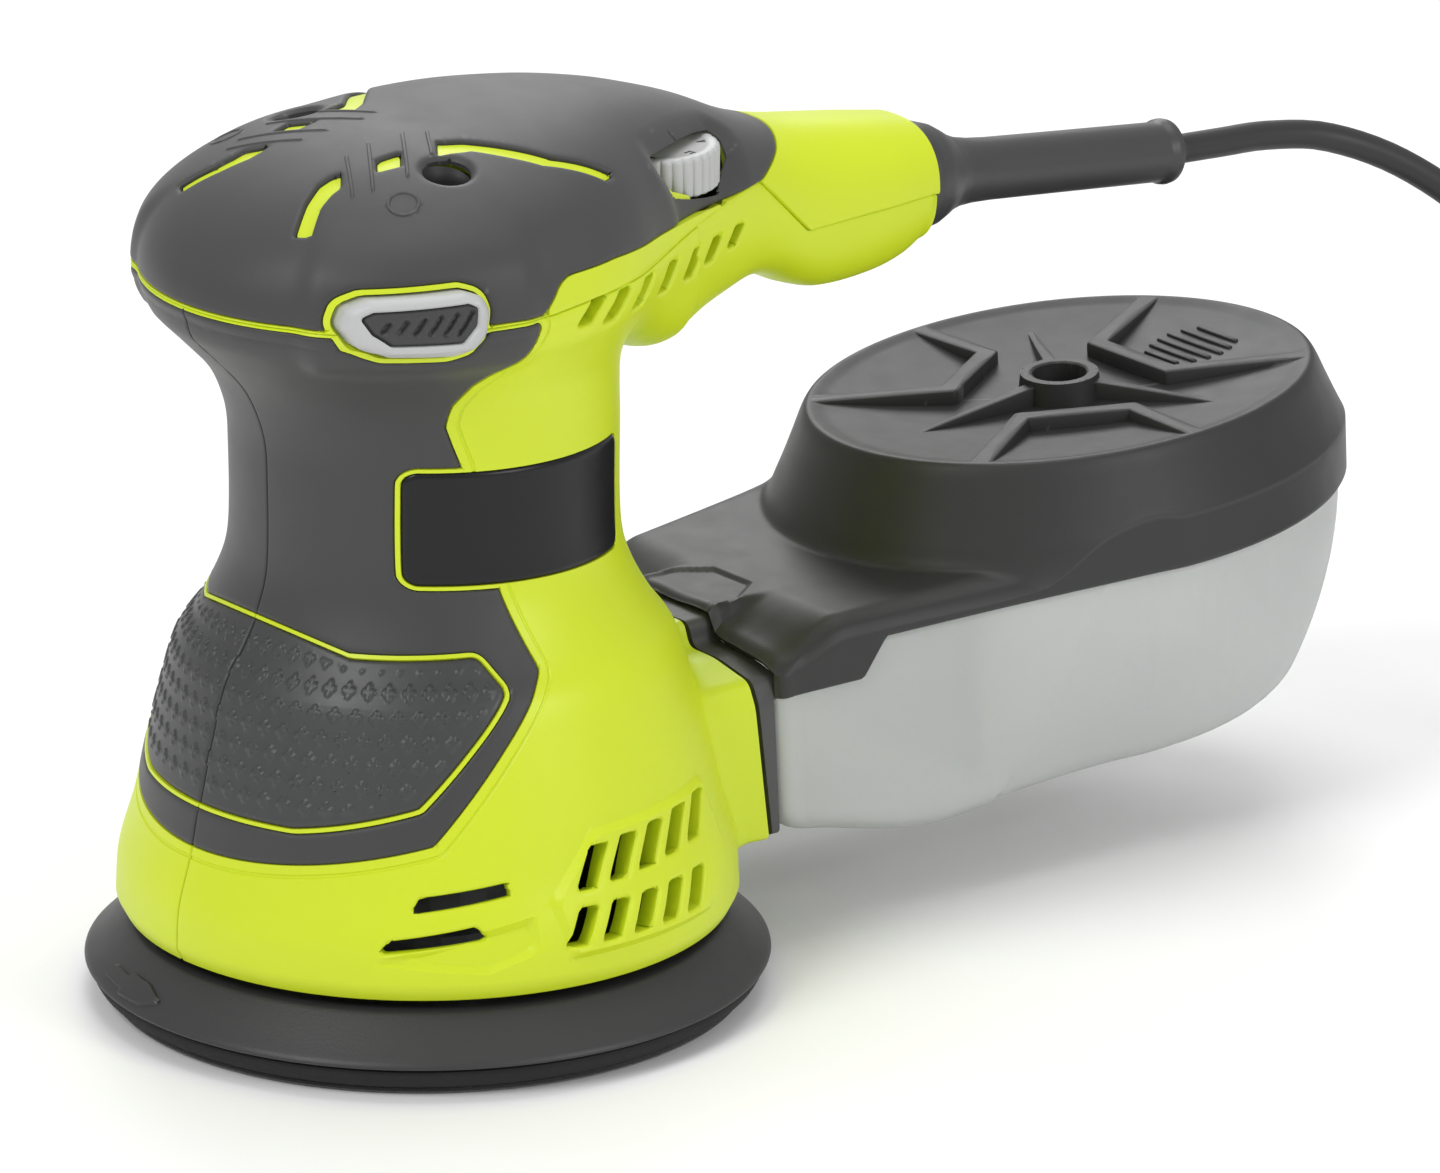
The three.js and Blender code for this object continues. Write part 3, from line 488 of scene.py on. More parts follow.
# ---------------------------------------------------------------- materials
def moulding(name, colour, roughness, grain=0.5, depth=0.02, mottle=0.05, wear=0.25, **settings):
    """A moulded or cast finish: fine grain, slightly uneven colour and gloss, and paler worn edges."""
    made = bpy.data.materials.new(name)
    made.use_nodes = True
    nodes, links = made.node_tree.nodes, made.node_tree.links
    shader = nodes["Principled BSDF"]
    for key, value in settings.items():
        shader.inputs[key.replace("_", " ")].default_value = value
    where = nodes.new("ShaderNodeTexCoord").outputs["Object"]

    def noise(size, detail=3):
        made_noise = nodes.new("ShaderNodeTexNoise")
        made_noise.inputs["Scale"].default_value = 1 / (size * MM)
        made_noise.inputs["Detail"].default_value = detail
        links.new(where, made_noise.inputs["Vector"])
        return made_noise.outputs["Fac"]

    def ranged(source, low, high):
        spread = nodes.new("ShaderNodeMapRange")
        spread.inputs["To Min"].default_value, spread.inputs["To Max"].default_value = low, high
        links.new(source, spread.inputs["Value"])
        return spread.outputs["Result"]

    def mixed(first, second, amount):
        mix = nodes.new("ShaderNodeMix")
        mix.data_type = "RGBA"
        for socket, value in (("A", first), ("B", second)):
            colours = [s for s in mix.inputs if s.name == socket and s.type == "RGBA"][0]
            if isinstance(value, bpy.types.NodeSocket):
                links.new(value, colours)
            else:
                colours.default_value = (*value, 1)
        links.new(amount, mix.inputs["Factor"])
        return [s for s in mix.outputs if s.type == "RGBA"][0]

    darker = tuple(c * (1 - mottle) for c in colour)
    lighter = tuple(min(c * (1 + mottle), 1) for c in colour)
    body = mixed(darker, lighter, noise(28))
    edges = nodes.new("ShaderNodeMapRange")
    edges.inputs["From Min"].default_value, edges.inputs["From Max"].default_value = 0.56, 0.68
    edges.inputs["To Max"].default_value = wear
    links.new(nodes.new("ShaderNodeNewGeometry").outputs["Pointiness"], edges.inputs["Value"])
    worn = tuple(c + (1 - c) * 0.22 for c in colour)
    links.new(mixed(body, worn, edges.outputs["Result"]), shader.inputs["Base Color"])
    links.new(ranged(noise(6), roughness - 0.05, roughness + 0.05), shader.inputs["Roughness"])
    bump = nodes.new("ShaderNodeBump")
    bump.inputs["Distance"].default_value = depth * MM
    bump.inputs["Strength"].default_value = 1
    links.new(noise(grain, 2), bump.inputs["Height"])
    links.new(bump.outputs["Normal"], shader.inputs["Normal"])
    return made


GREEN = moulding("green", (0.60, 0.72, 0.012), 0.42, grain=0.5, depth=0.008, mottle=0.03, wear=0.12,
                 Subsurface_Weight=0.06, Subsurface_Scale=0.003)
SOFT = moulding("soft_grip", (0.038, 0.038, 0.039), 0.54, grain=0.35, depth=0.012, mottle=0.06,
                Sheen_Weight=0.12)
PANEL_SKIN = moulding("grip_texture", (0.045, 0.046, 0.047), 0.42, grain=0.3, depth=0.01)
BADGE_FACE = moulding("badge", (0.008, 0.008, 0.009), 0.3, grain=2, depth=0.004, wear=0.05,
                      Specular_IOR_Level=0.3)
BLACK = moulding("black_plastic", (0.02, 0.02, 0.021), 0.55, grain=0.5, depth=0.02)
BOOT_RUBBER = moulding("boot_rubber", (0.045, 0.045, 0.046), 0.42, grain=0.6, depth=0.006)
PLATE = moulding("plate_plastic", (0.03, 0.03, 0.031), 0.45, grain=0.45, depth=0.05, wear=0.35)
FOAM = moulding("foam", (0.012, 0.012, 0.013), 0.85, grain=0.35, depth=0.12, wear=0)
HOOK = moulding("hook", (0.03, 0.03, 0.032), 0.95, grain=0.25, depth=0.3, wear=0, Sheen_Weight=0.4)
LID = moulding("lid_plastic", (0.03, 0.03, 0.031), 0.46, grain=0.4, depth=0.02, wear=0.3,
               Specular_IOR_Level=0.35)
TUB = moulding("tub_plastic", (0.8, 0.81, 0.8), 0.42, grain=0.7, depth=0.01, mottle=0.03, wear=0,
               Transmission_Weight=0.55, IOR=1.25, Subsurface_Weight=0.1, Subsurface_Scale=0.01)
LIGHT = moulding("light_plastic", (0.47, 0.475, 0.475), 0.42, grain=0.4, depth=0.008)
STEEL = moulding("steel", (0.6, 0.61, 0.63), 0.28, grain=0.2, depth=0.004, Metallic=1)
LAMINATION = moulding("laminations", (0.2, 0.21, 0.22), 0.45, grain=0.5, depth=0.03, Metallic=0.9)
COPPER = moulding("copper", (0.55, 0.22, 0.08), 0.3, grain=0.5, depth=0.06, Metallic=1)
CARBON = moulding("carbon", (0.02, 0.02, 0.02), 0.7, grain=0.2, depth=0.02)
CAST = moulding("cast_metal", (0.4, 0.41, 0.42), 0.45, grain=0.8, depth=0.04, Metallic=0.9)
PAPER = moulding("filter_paper", (0.78, 0.74, 0.62), 0.95, grain=0.4, depth=0.05)
CORD_RUBBER = moulding("cord_rubber", (0.022, 0.022, 0.023), 0.5, grain=0.8, depth=0.012)
BRASS = moulding("brass", (0.68, 0.48, 0.14), 0.25, grain=0.3, depth=0.004, Metallic=1)
INK = moulding("ink", (0.01, 0.01, 0.01), 0.5, grain=0.5, depth=0.004, wear=0)

SLOT_MATERIALS = {"green": GREEN, "soft_grip": SOFT, "grip_texture": PANEL_SKIN, "badge": BADGE_FACE,
                  "black_plastic": BLACK, "plate_plastic": PLATE, "foam": FOAM, "hook": HOOK,
                  "lid_plastic": LID, "tub_plastic": TUB, "light_plastic": LIGHT, "steel": STEEL,
                  "laminations": LAMINATION, "copper": COPPER, "carbon": CARBON, "cast_metal": CAST,
                  "filter_paper": PAPER, "cord_rubber": CORD_RUBBER, "brass": BRASS}


def finish_cad_nodes():
    """Gives every carried-over CAD node the material of its slot in the record."""
    subparts = [part for part in frame["record"]["subparts"] if "node" in part]
    by_node = {part["node"]: part.get("material_slot") for part in subparts}
    for name, node in frame["nodes"].items():
        material = SLOT_MATERIALS.get(by_node.get(name), BLACK)
        node.data.materials.clear()
        node.data.materials.append(material)


# ---------------------------------------------------------------- camera, floor and light
def camera():
    target, distance = Vector((16.4, 60.0, 71.9)) * MM, 2312.8 * MM
    right, up = Vector((0.6255, 0.7802, 0)), Vector((-0.2533, 0.2030, 0.9459))
    back = Vector((0.7380, -0.5917, 0.3246))
    made = bpy.data.objects.new("camera", bpy.data.cameras.new("camera"))
    made.data.sensor_width, made.data.lens = 36, 295.7
    made.data.clip_start, made.data.clip_end = 0.05, 30
    turn = Matrix((right, up, back)).transposed().to_4x4()
    made.matrix_world = Matrix.Translation(target + back.normalized() * distance) @ turn
    bpy.context.scene.collection.objects.link(made)
    bpy.context.scene.camera = made


def floor():
    half, under_feet = 9000, -0.05
    plan = np.array([(-half, -half), (half, -half), (half, half), (-half, half)], float)
    made = mesh_object("floor", (level_ring(plan, under_feet), np.array([(0, 1, 2), (0, 2, 3)])))
    paint = moulding("floor_paint", (0.95, 0.95, 0.95), 0.85, grain=3, depth=0.02, mottle=0.005)
    made.data.materials.append(paint)


def area_light(name, position, size, power, aim=(0, 60, 90)):
    lamp = bpy.data.lights.new(name, "AREA")
    lamp.shape, lamp.size, lamp.energy = "DISK", size, power
    made = bpy.data.objects.new(name, lamp)
    made.location = Vector(position)
    made.rotation_euler = (Vector(aim) * MM - Vector(position)).to_track_quat("-Z", "Y").to_euler()
    bpy.context.scene.collection.objects.link(made)


def studio():
    area_light("key", (0.2, -1.5, 1.5), 0.9, 16)
    area_light("side", (1.7, 0.5, 0.9), 0.8, 9)
    area_light("top", (-0.3, 0.4, 2.0), 1.4, 13)
    area_light("back", (-1.6, 1.2, 1.2), 1.0, 10)
    world = bpy.data.worlds.new("studio")
    world.use_nodes = True
    world.node_tree.nodes["Background"].inputs["Color"].default_value = (1, 1, 1, 1)
    world.node_tree.nodes["Background"].inputs["Strength"].default_value = 0.52
    bpy.context.scene.world = world
    bpy.context.scene.view_settings.view_transform = "Standard"


# ---------------------------------------------------------------- cord, coil and plug
# The route from the boot to the floor, repeated from the CAD source.
CORD_ROUTE = [(0, 188.9, 132.7), (0, 202, 131.9), (0, 215, 131), (2.2, 229, 128.6), (9.5, 242, 122.8),
              (20.5, 252.5, 113.2), (32.5, 259.5, 101), (43.5, 263.5, 86.5), (51.6, 265, 70.5),
              (56.4, 264.5, 54.5), (58.7, 263.4, 42), (61, 262.8, 30.8), (65, 262.5, 20.4),
              (71, 262.4, 12), (78.6, 262.4, 6.6), (87, 262.4, 4)]
COIL_X, COIL_Y, COIL_OUTER, COIL_INNER, COIL_PITCH = 95, 308, 45.6, 26.4, 6.4
COIL_TURNS, COIL_TURNS_IN, COIL_WIDEN = 6.5, 3, 3.3
PLUG_X, PLUG_Y, PLUG_Z, PLUG_LENGTH = 47, 355, 6.8, 36


def coil_points():
    """Three turns in along the floor, a climb, and the rest back out on top of them."""
    turns = np.arange(0, COIL_TURNS + 1e-9, 1 / 24)
    radius = np.maximum(COIL_OUTER - COIL_PITCH * np.minimum(turns, COIL_TURNS_IN),
                        COIL_INNER + COIL_PITCH * np.maximum(turns - COIL_WIDEN, 0))
    height = 3.4 + COIL_PITCH * smoothstep(turns, COIL_TURNS_IN - 0.25, COIL_TURNS_IN + 0.55)
    angle = (turns - 0.25) * 2 * math.pi
    return np.column_stack([COIL_X + radius * np.cos(angle), COIL_Y + radius * np.sin(angle), height])


def cord_points():
    coil = coil_points()
    tail = [(COIL_X - step, coil[-1][1], height)
            for step, height in ((6, 9.7), (12, 9.2), (18, 8.3), (24, 7.4), (30.5, PLUG_Z))]
    return resampled(np.concatenate([CORD_ROUTE, coil, tail]), 3.2)


def cord_curve():
    points = cord_points()
    data = bpy.data.curves.new("cord", "CURVE")
    data.dimensions = "3D"
    data.bevel_depth, data.bevel_resolution, data.use_fill_caps = CORD_RADIUS * MM, 6, True
    line = data.splines.new("POLY")
    line.points.add(len(points) - 1)
    for spot, point in zip(line.points, points):
        spot.co = (*(Vector(point) * MM), 1)
    line.use_smooth = True
    made = bpy.data.objects.new("cord", data)
    bpy.context.scene.collection.objects.link(made)
    data.materials.append(CORD_RUBBER)
    return made, float(np.linalg.norm(np.diff(points, axis=0), axis=1).sum())


def superellipse(half_width, half_height, power, sides=64):
    turn = np.linspace(0, 2 * math.pi, sides, endpoint=False)
    c, s = np.cos(turn), np.sin(turn)
    return np.column_stack([half_width * np.sign(c) * np.abs(c) ** power,
                            half_height * np.sign(s) * np.abs(s) ** power])


def plug_grip():
    """A flat plug body that widens towards its pins, with finger grooves near the cord."""
    wide = through([(-18, 3.7), (-10, 7.4), (0, 12.3), (12, 16.6), (18, 16.8)])
    high = through([(-18, 3.7), (-6, 6.0), (10, 6.5), (18, 6.4)])
    rows = []
    for y in np.linspace(-18, 18, 73):
        groove = 0.35 * (0.5 - 0.5 * math.cos((y + 16) * 2 * math.pi / 3.2)) if -16 < y < 0 else 0
        ease = 0.9 * max(0, (abs(y) - 17) / 1.0) ** 2
        section = superellipse(float(wide(y)) - groove - ease, float(high(y)) - groove - ease, 0.75)
        rows.append(np.column_stack([section[:, 0], np.full(len(section), y), section[:, 1]]))
    return moved(capped(rows), (PLUG_X, PLUG_Y, PLUG_Z), Matrix.Rotation(math.radians(90), 4, "Z"))


def plug_pin(x):
    """A round pin with a domed tip."""
    profile = [(0, 0), (2, 0), (2, 16.6), (1.75, 17.9), (1.1, 18.7), (0, 19)]
    along = Matrix.Rotation(math.radians(90), 4, "Z") @ Matrix.Rotation(math.radians(-90), 4, "X")
    root = PLUG_X - PLUG_LENGTH / 2 - 0.3
    return moved(lathe(divided(profile, 1.5), 32), (root, PLUG_Y + x, PLUG_Z), along)


def cord_set():
    curve, length = cord_curve()
    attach(curve, "housing")
    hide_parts("cord_tube", "cord_coil")
    grip = piece("plug_grip", plug_grip(), CORD_RUBBER, "housing", "cord_rubber", ["plug_body"])
    pins = [piece(f"plug_pin_{side}_round", plug_pin(x), BRASS, "housing", "brass", [f"plug_pin_{side}"])
            for side, x in (("right", 9.3), ("left", -9.3))]


# ---------------------------------------------------------------- outer form of the body
SKIN_STEP = 1.25
FLARE_FROM, FLARE_TO, FLARE_NARROWING, FLARE_LENGTHENING = 114, 146, 0.02, 0.06
UPPER_POWER, LOWER_POWER = 2 / 2.5, 2 / 2.4


def body_form():
    """The round lower body and neck, flaring into the palm at the top."""
    wall = [BODY_PROFILE[0], *resampled(BODY_PROFILE[1:], SKIN_STEP)]
    profile = [(0, BODY_BOTTOM), *wall, (0, BODY_PROFILE[-1][1])]
    points, faces = lathe([tuple(p) for p in profile], 288)
    flare = smoothstep(points[:, 2], FLARE_FROM, FLARE_TO)
    points[:, 0] *= 1 - FLARE_NARROWING * flare
    points[:, 1] = points[:, 1] * (1 + FLARE_LENGTHENING * flare) + PALM_CENTRE * flare
    return points, faces


def handle_form(around=208):
    """The palm, the handle behind it and the tail, as one loft along Y."""
    top, half, middle, bottom = map(through, (HANDLE_TOP, HANDLE_HALF, HANDLE_MIDDLE, HANDLE_BOTTOM))
    quarter = np.linspace(0.02, math.pi / 2, 56)
    stations = [(PALM_CENTRE - PALM_HALF_LENGTH * math.cos(q), math.sin(q)) for q in quarter]
    stations += [(y, 1.0) for y in np.linspace(PALM_CENTRE, TAIL_END, 100)[1:]]
    turn = np.linspace(0, 2 * math.pi, around, endpoint=False)
    c, s = np.cos(turn), np.sin(turn)
    upper = s >= 0
    power = np.where(upper, UPPER_POWER, LOWER_POWER)
    rows = []
    for y, fullness in stations:
        height = np.where(upper, top(y) - middle(y), middle(y) - bottom(y))
        x = fullness * half(y) * np.sign(c) * np.abs(c) ** power
        z = middle(y) + fullness * height * np.sign(s) * np.abs(s) ** power
        rows.append(np.column_stack([x, np.full(around, y), z]))
    return capped(rows)


PORT_SECTION = [(-32, -16.5), (32, -16.5), (32, 12), (30.5, 17), (20, 19.3), (12.6, 19.5), (11.6, 24.5),
                (-11.6, 24.5), (-12.6, 19.5), (-20, 19.3), (-30.5, 17), (-32, 12)]
PORT_LENGTH = 42


def port_form():
    """The duct behind the body. Its open face leans back a little."""
    section = rounded(PORT_SECTION, 1.6, SKIN_STEP)
    rows = []
    for along in np.arange(-PORT_LENGTH, 0.01, PORT_LENGTH / 34):
        y = PORT_Y + along - section[:, 1] * PORT_SLOPE
        rows.append(np.column_stack([section[:, 0], y, PORT_Z + section[:, 1]]))
    return capped(rows)


def relaxed_creases(points, faces, rounds=14, reach=3):
    """Rounds out the inward creases where the forms run into each other."""
    flat = unit(face_normals(points, faces))
    centres = points[faces].mean(1)
    ends = np.concatenate([faces[:, [0, 1]], faces[:, [1, 2]], faces[:, [2, 0]]])
    owner = np.tile(np.arange(len(faces)), 3)
    keys = ends.min(1).astype(np.int64) * len(points) + ends.max(1)
    order = np.argsort(keys, kind="stable")
    keys, ends, owner = keys[order], ends[order], owner[order]
    pair = np.nonzero(keys[1:] == keys[:-1])[0]
    a, b = owner[pair], owner[pair + 1]
    bent = np.einsum("ij,ij->i", flat[a], flat[b]) < 0.93
    inward = np.einsum("ij,ij->i", flat[a], centres[b] - centres[a]) > 0
    weight = np.zeros(len(points))
    weight[ends[pair[bent & inward]].ravel()] = 1
    neighbours = ends[pair]
    for _ in range(reach):
        spread = weight.copy()
        np.maximum.at(spread, neighbours[:, 0], weight[neighbours[:, 1]] * 0.8)
        np.maximum.at(spread, neighbours[:, 1], weight[neighbours[:, 0]] * 0.8)
        weight = spread
    count = np.bincount(neighbours.ravel(), minlength=len(points))
    for _ in range(rounds):
        total = np.zeros_like(points)
        np.add.at(total, neighbours[:, 0], points[neighbours[:, 1]])
        np.add.at(total, neighbours[:, 1], points[neighbours[:, 0]])
        points = points + (total / np.maximum(count, 1)[:, None] - points) * (0.6 * weight)[:, None]
    return points, faces


def port_plane(points):
    """Signed distance past the duct's open face."""
    return points[:, 1] + (points[:, 2] - PORT_Z) * PORT_SLOPE - PORT_Y


def whole_skin():
    """The outer surface of the machine, open underneath and at the duct."""
    points, faces = relaxed_creases(*combined(body_form(), handle_form(), port_form()))
    centres = points[faces].mean(1)
    normals = unit(face_normals(points, faces))
    under = (centres[:, 2] < BODY_BOTTOM + 0.05) & (normals[:, 2] < -0.9)
    mouth = (port_plane(centres) > -0.05) & (normals[:, 1] > 0.9) & (centres[:, 2] < 80)
    whole = Skin(points, faces)
    return tidy(whole, faces[~under & ~mouth])


# ---------------------------------------------------------------- regions of the body
BEAD = 0.9
LAYER = 1.6


def capsule(y, z, length, width, lean):
    """A round-ended slot in side view, leaning back by an angle."""
    reach = (length - width) / 2
    dy, dz = math.sin(math.radians(lean)) * reach, math.cos(math.radians(lean)) * reach

    def rule(points):
        w = points[:, 1:] - (y, z)
        t = np.clip((w[:, 0] * dy + w[:, 1] * dz) / (dy * dy + dz * dz), -1, 1)
        return np.hypot(w[:, 0] - t * dy, w[:, 1] - t * dz) - width / 2
    return rule


def slanted(y, z, length, width, lean, radius=0.6):
    """A slot in side view with level ends and leaning sides."""
    dy, dz = math.tan(math.radians(lean)) * length / 2, length / 2
    corners = [(y - dy - width / 2, z - dz), (y - dy + width / 2, z - dz),
               (y + dy + width / 2, z + dz), (y + dy - width / 2, z + dz)]
    return outline_rule(corners, radius)


HANDLE_SLOT_SIZES = [(5, 147, 5.6, 4), (12.6, 146, 6, 4.4), (22, 145.7, 5.8, 4.4), (33, 145, 5.6, 4.4),
                     (43.2, 144.6, 5.2, 4.2), (52, 144.6, 4.6, 3.9), (60, 145, 4, 3.4)]
HANDLE_SLOTS = [slanted(y, z, length, width, 38) for y, z, length, width in HANDLE_SLOT_SIZES]
VENT_SLOTS = [slanted(-4 + i * 7.4, 40 + i * 0.5, 8, 4.4, 28) for i in range(5)]
VENT_SLOTS += [slanted(-8 + i * 7.4, 29.5, 7, 4.4, 28) for i in range(5)]
LONG_SLOTS = [outline_rule([(-38, 34.5), (-21, 37), (-21, 39.5), (-36, 37.5)], 0.5),
              outline_rule([(-44, 26.8), (-26, 29.5), (-28, 32), (-42, 29.5)], 0.5)]
SLOTS = any_of(*HANDLE_SLOTS, *VENT_SLOTS, *LONG_SLOTS)
VENT_PANEL = outline_rule([(-14, 35), (-11, 23.5), (27, 23.5), (36, 35), (31, 48), (-3, 47)], 1.5)
LEDGE = outline_rule([(-47, 25), (-27, 22.5), (-17, 26), (-17, 33), (-27, 31)], 0.8)

COVER_RULE = outline_rule(COVER)
GRIP_RULE = outline_rule(GRIP, 1.5)
PANEL_RULE = outline_rule(PANEL, 2)
BADGE_RULE = outline_rule(BADGE, 2.5)
SWITCH_RULE = outline_rule(SWITCH_FACE, 3)
INSERT_RULE = outline_rule(SWITCH_INSERT, 0.8)
PALM_RULE = outline_rule(PALM_GRIP, 1.0)

# Plan outlines on the top of the palm, as (x, y), for the right side.
HOOK_SLOT = [(18, -44), (20.9, -42.2), (16.9, -36.9), (15.7, -33.5), (15.4, -30.9), (11.3, -27.7),
             (10.8, -30.3), (11, -33), (13.5, -37.9)]
SQUARE_SLOT = [(12.6, -20.5), (13.1, -14.9), (17.9, -18.5), (16.5, -23.3)]
REAR_SLOT = [(13.2, -6.5), (15.8, -2.3), (19.7, 1.1), (28.9, 9), (34.6, 20.1), (35.7, 16.7), (30.4, 5.7),
             (25.4, 1), (20.1, -3.5), (18.4, -10.3)]
SCREW_PIT = (24, -12.2, 4.8)
PALM_SLOPE = 0.33
EMBLEM = (27.9, -25.6, 2.9)


def plan_rule(corners, radius=0.5):
    """A plan outline on both sides of the palm."""
    return mirrored(outline_rule(corners, radius, axes=(0, 1)))


ACCENT_RULE = any_of(*[plan_rule(corners) for corners in (HOOK_SLOT, SQUARE_SLOT, REAR_SLOT)])
PIT_RULE = mirrored(disc(*SCREW_PIT))
SWITCH_GAP, SWITCH_BEAD = 0.2, 1.15
GRIP_LAYER = all_of(GRIP_RULE, apart_from(PANEL_RULE, BEAD), apart_from(BADGE_RULE, BEAD),
                    apart_from(SWITCH_RULE, SWITCH_BEAD))

# The opening that the dial looks out of, in plan, and the narrower one in the cover below it.
DIAL_WINDOW = outline_rule([(27, 35), (21.5, 45.5), (17, 54), (15, 58.6), (16.4, 61), (19.6, 60.4),
                            (24.2, 54.6), (30.6, 38.6), (29.2, 35.6)], 1.2, (0, 1))
COVER_WINDOW = outline_rule([(24, 33.5), (17.5, 45), (12.5, 55), (12, 60), (15.5, 63), (20, 61.4),
                             (24.5, 54.8), (30.1, 38.5), (28.8, 34.2)], 1.0, (0, 1))

# Raised lines across the top of the palm, as pairs of plan points.
TOP_LINES = [((7.1, -23.3), (19.7, -31.3)), ((6.4, -17.5), (21, -27.5)), ((6.3, -9.4), (22, -20)),
             ((8.2, -5), (17.8, -11.1))]
POINTER = ((20.4, 44.6), (21.8, 48))
LINE_HALF_WIDTH, LINE_HEIGHT, LINE_SURROUND = 0.4, 0.28, 3


def line_distances(a, b):
    """Signed distance across an endless line in plan, and distance from its stretch between two points."""
    a, along = np.array(a, float), np.array(b, float) - a
    length = math.hypot(*along)

    def across(points):
        return ((points[:, 0] - a[0]) * along[1] - (points[:, 1] - a[1]) * along[0]) / length

    def away(points):
        w = points[:, :2] - a
        t = np.clip(w @ along / length ** 2, 0, 1)
        return np.hypot(*(w - t[:, None] * along).T)
    return across, away


def embossed(skin, across, away, height=LINE_HEIGHT):
    """Raises a thin line whose middle is where a signed rule is zero."""
    near = away(skin.points) < LINE_SURROUND
    chosen = near[skin.faces].any(1)
    part = tidy(skin, skin.faces[chosen])
    rest = tidy(skin, skin.faces[~chosen])
    for level in (-LINE_HALF_WIDTH, -LINE_HALF_WIDTH / 2, LINE_HALF_WIDTH / 2, LINE_HALF_WIDTH):
        part = cut(part, across, level)
    part = raised(part, height * np.clip(2 - away(part.points) / LINE_HALF_WIDTH * 2, 0, 1))
    count = len(part.points)
    both = [np.concatenate(pair) for pair in ((part.points, rest.points), (part.faces, rest.faces + count),
                                              (part.normals, rest.normals), (part.sink, rest.sink))]
    return Skin(*both)


def palm_relief(skin):
    """The ring emblem, the short lines across the top and the dial's pointer line."""
    x, y, radius = EMBLEM
    ring = mirrored(disc(x, y, radius))
    skin = embossed(skin, ring, lambda p: np.abs(ring(p)))
    for side in (1, -1):
        for a, b in TOP_LINES:
            skin = embossed(skin, *line_distances((side * a[0], a[1]), (side * b[0], b[1])))
    return embossed(skin, *line_distances(*POINTER), height=-LINE_HEIGHT)


PILLOW_HEIGHT, PILLOW_FRONT, PILLOW_REAR = 1.3, (-62, -55), (-9, -2)
PILLOW_LOW, PILLOW_HIGH = (136, 142), (157, 168)


def pillow(points):
    """The soft swelling that stands the switch proud of the palm."""
    x, y, z = points.T
    heading = np.degrees(np.arctan2(y - PALM_CENTRE, np.abs(x)))
    across = smoothstep(heading, *PILLOW_FRONT) * (1 - smoothstep(heading, *PILLOW_REAR))
    return PILLOW_HEIGHT * across * smoothstep(z, *PILLOW_LOW) * (1 - smoothstep(z, *PILLOW_HIGH))


SEAM_ROUND = [(-0.5, 0), (-0.2, 0.08), (0, 0.35)]


def switch_opening(side, gap):
    """A bar along X with the outline of the switch and a gap round it, that clears the way for its caps."""
    outline = rounded(grown(SWITCH_FACE, gap - 0.02), 3, 0.6)
    return capped([np.column_stack([np.full(len(outline), x * side), outline]) for x in (12, 70)])


def side_rule(side, gap=0.08):
    """One half of the machine, up to a hair short of the middle plane."""
    return lambda points: gap - points[:, 0] * side


COVER_GAP = 0.06
RECESS = [(-0.12, LAYER + 0.1), (0.12, 0.05)]
GRIP_GROOVE = [(1.6, 0), (1.85, 0.28), (2.15, 0.28), (2.4, 0)]
WINDOW_EDGE = [(-4, 0), (-3, 0.12), (-2, 0.4), (-1, 0.85), (0, 1.4)]
PIT_EDGE = [(-1.6, 0), (-1, 0.12), (-0.5, 0.4), (0, 1)]
ACCENT_DEPTH, PIT_CLEARANCE = 0.9, 2.2
POCKET_FLOOR, POCKET_GAP, POCKET_HEADROOM = 150, 0.5, 0.6
PALM_OUTLINE = all_of(PALM_RULE, apart_from(SWITCH_RULE, SWITCH_BEAD))


def without_switches(skin, depth, gap, *others, sides=(1, -1)):
    """The thickened skin, cleared for the switch and for other tools."""
    openings = [switch_opening(side, gap) for side in sides]
    return combined(thick(skin, depth), *openings, *others, operation="DIFFERENCE")


def housing_piece(lower, side, word):
    half = all_of(side_rule(side), apart_from(SWITCH_RULE, SWITCH_GAP), apart_from(SLOTS))
    skin = kept(lower, half)
    skin = carved(skin, VENT_PANEL, [(-1.5, -1.3), (0, 0)])
    skin = carved(skin, LEDGE, [(-1.4, 1.3), (0, 0)])
    skin = eased(skin, apart_from(SLOTS))
    skin = carved(skin, GRIP_RULE, GRIP_GROOVE)
    skin = carved(skin, any_of(GRIP_LAYER, PANEL_RULE, BADGE_RULE), RECESS)
    skin = carved(skin, apart_from(COVER_RULE, COVER_GAP), SEAM_ROUND)
    skin = carved(skin, side_rule(side), SEAM_ROUND)
    skin = carved(skin, port_plane, EDGE_ROUND)
    shell = without_switches(skin, HOUSING_WALL, SWITCH_GAP, sides=(side,))
    piece(f"housing_{word}_shell", shell, GREEN, "housing", "green", [f"housing_{word}"])


def grip_piece(lower, side, word):
    layer = eased(kept(lower, all_of(GRIP_LAYER, side_rule(side))), GRIP_LAYER)
    layer = carved(layer, side_rule(side), SEAM_ROUND)
    layer = without_switches(layer, LAYER, SWITCH_BEAD, sides=(side,))
    piece(f"grip_{word}", layer, SOFT, "housing", "soft_grip", [f"grip_overmould_{word}"])


def cover_piece(upper):
    switch_room = apart_from(SWITCH_RULE, SWITCH_GAP)
    cover = kept(upper, all_of(switch_room, apart_from(PIT_RULE, PIT_CLEARANCE), apart_from(COVER_WINDOW)))
    cover = carved(cover, all_of(PALM_OUTLINE, apart_from(ACCENT_RULE, -0.1)), RECESS)
    cover = carved(cover, ACCENT_RULE, [(-0.05, ACCENT_DEPTH), (0.05, 0)])
    cover = carved(cover, COVER_RULE, SEAM_ROUND)
    pocket = rod(DIAL_X, DIAL_Y, DIAL_RADIUS + POCKET_GAP, POCKET_FLOOR, DIAL_TOP + POCKET_HEADROOM, 96)
    shell = without_switches(cover, HOUSING_WALL + 0.4, SWITCH_GAP, pocket)
    piece("cover_shell", shell, GREEN, "housing", "green", ["top_cover"])


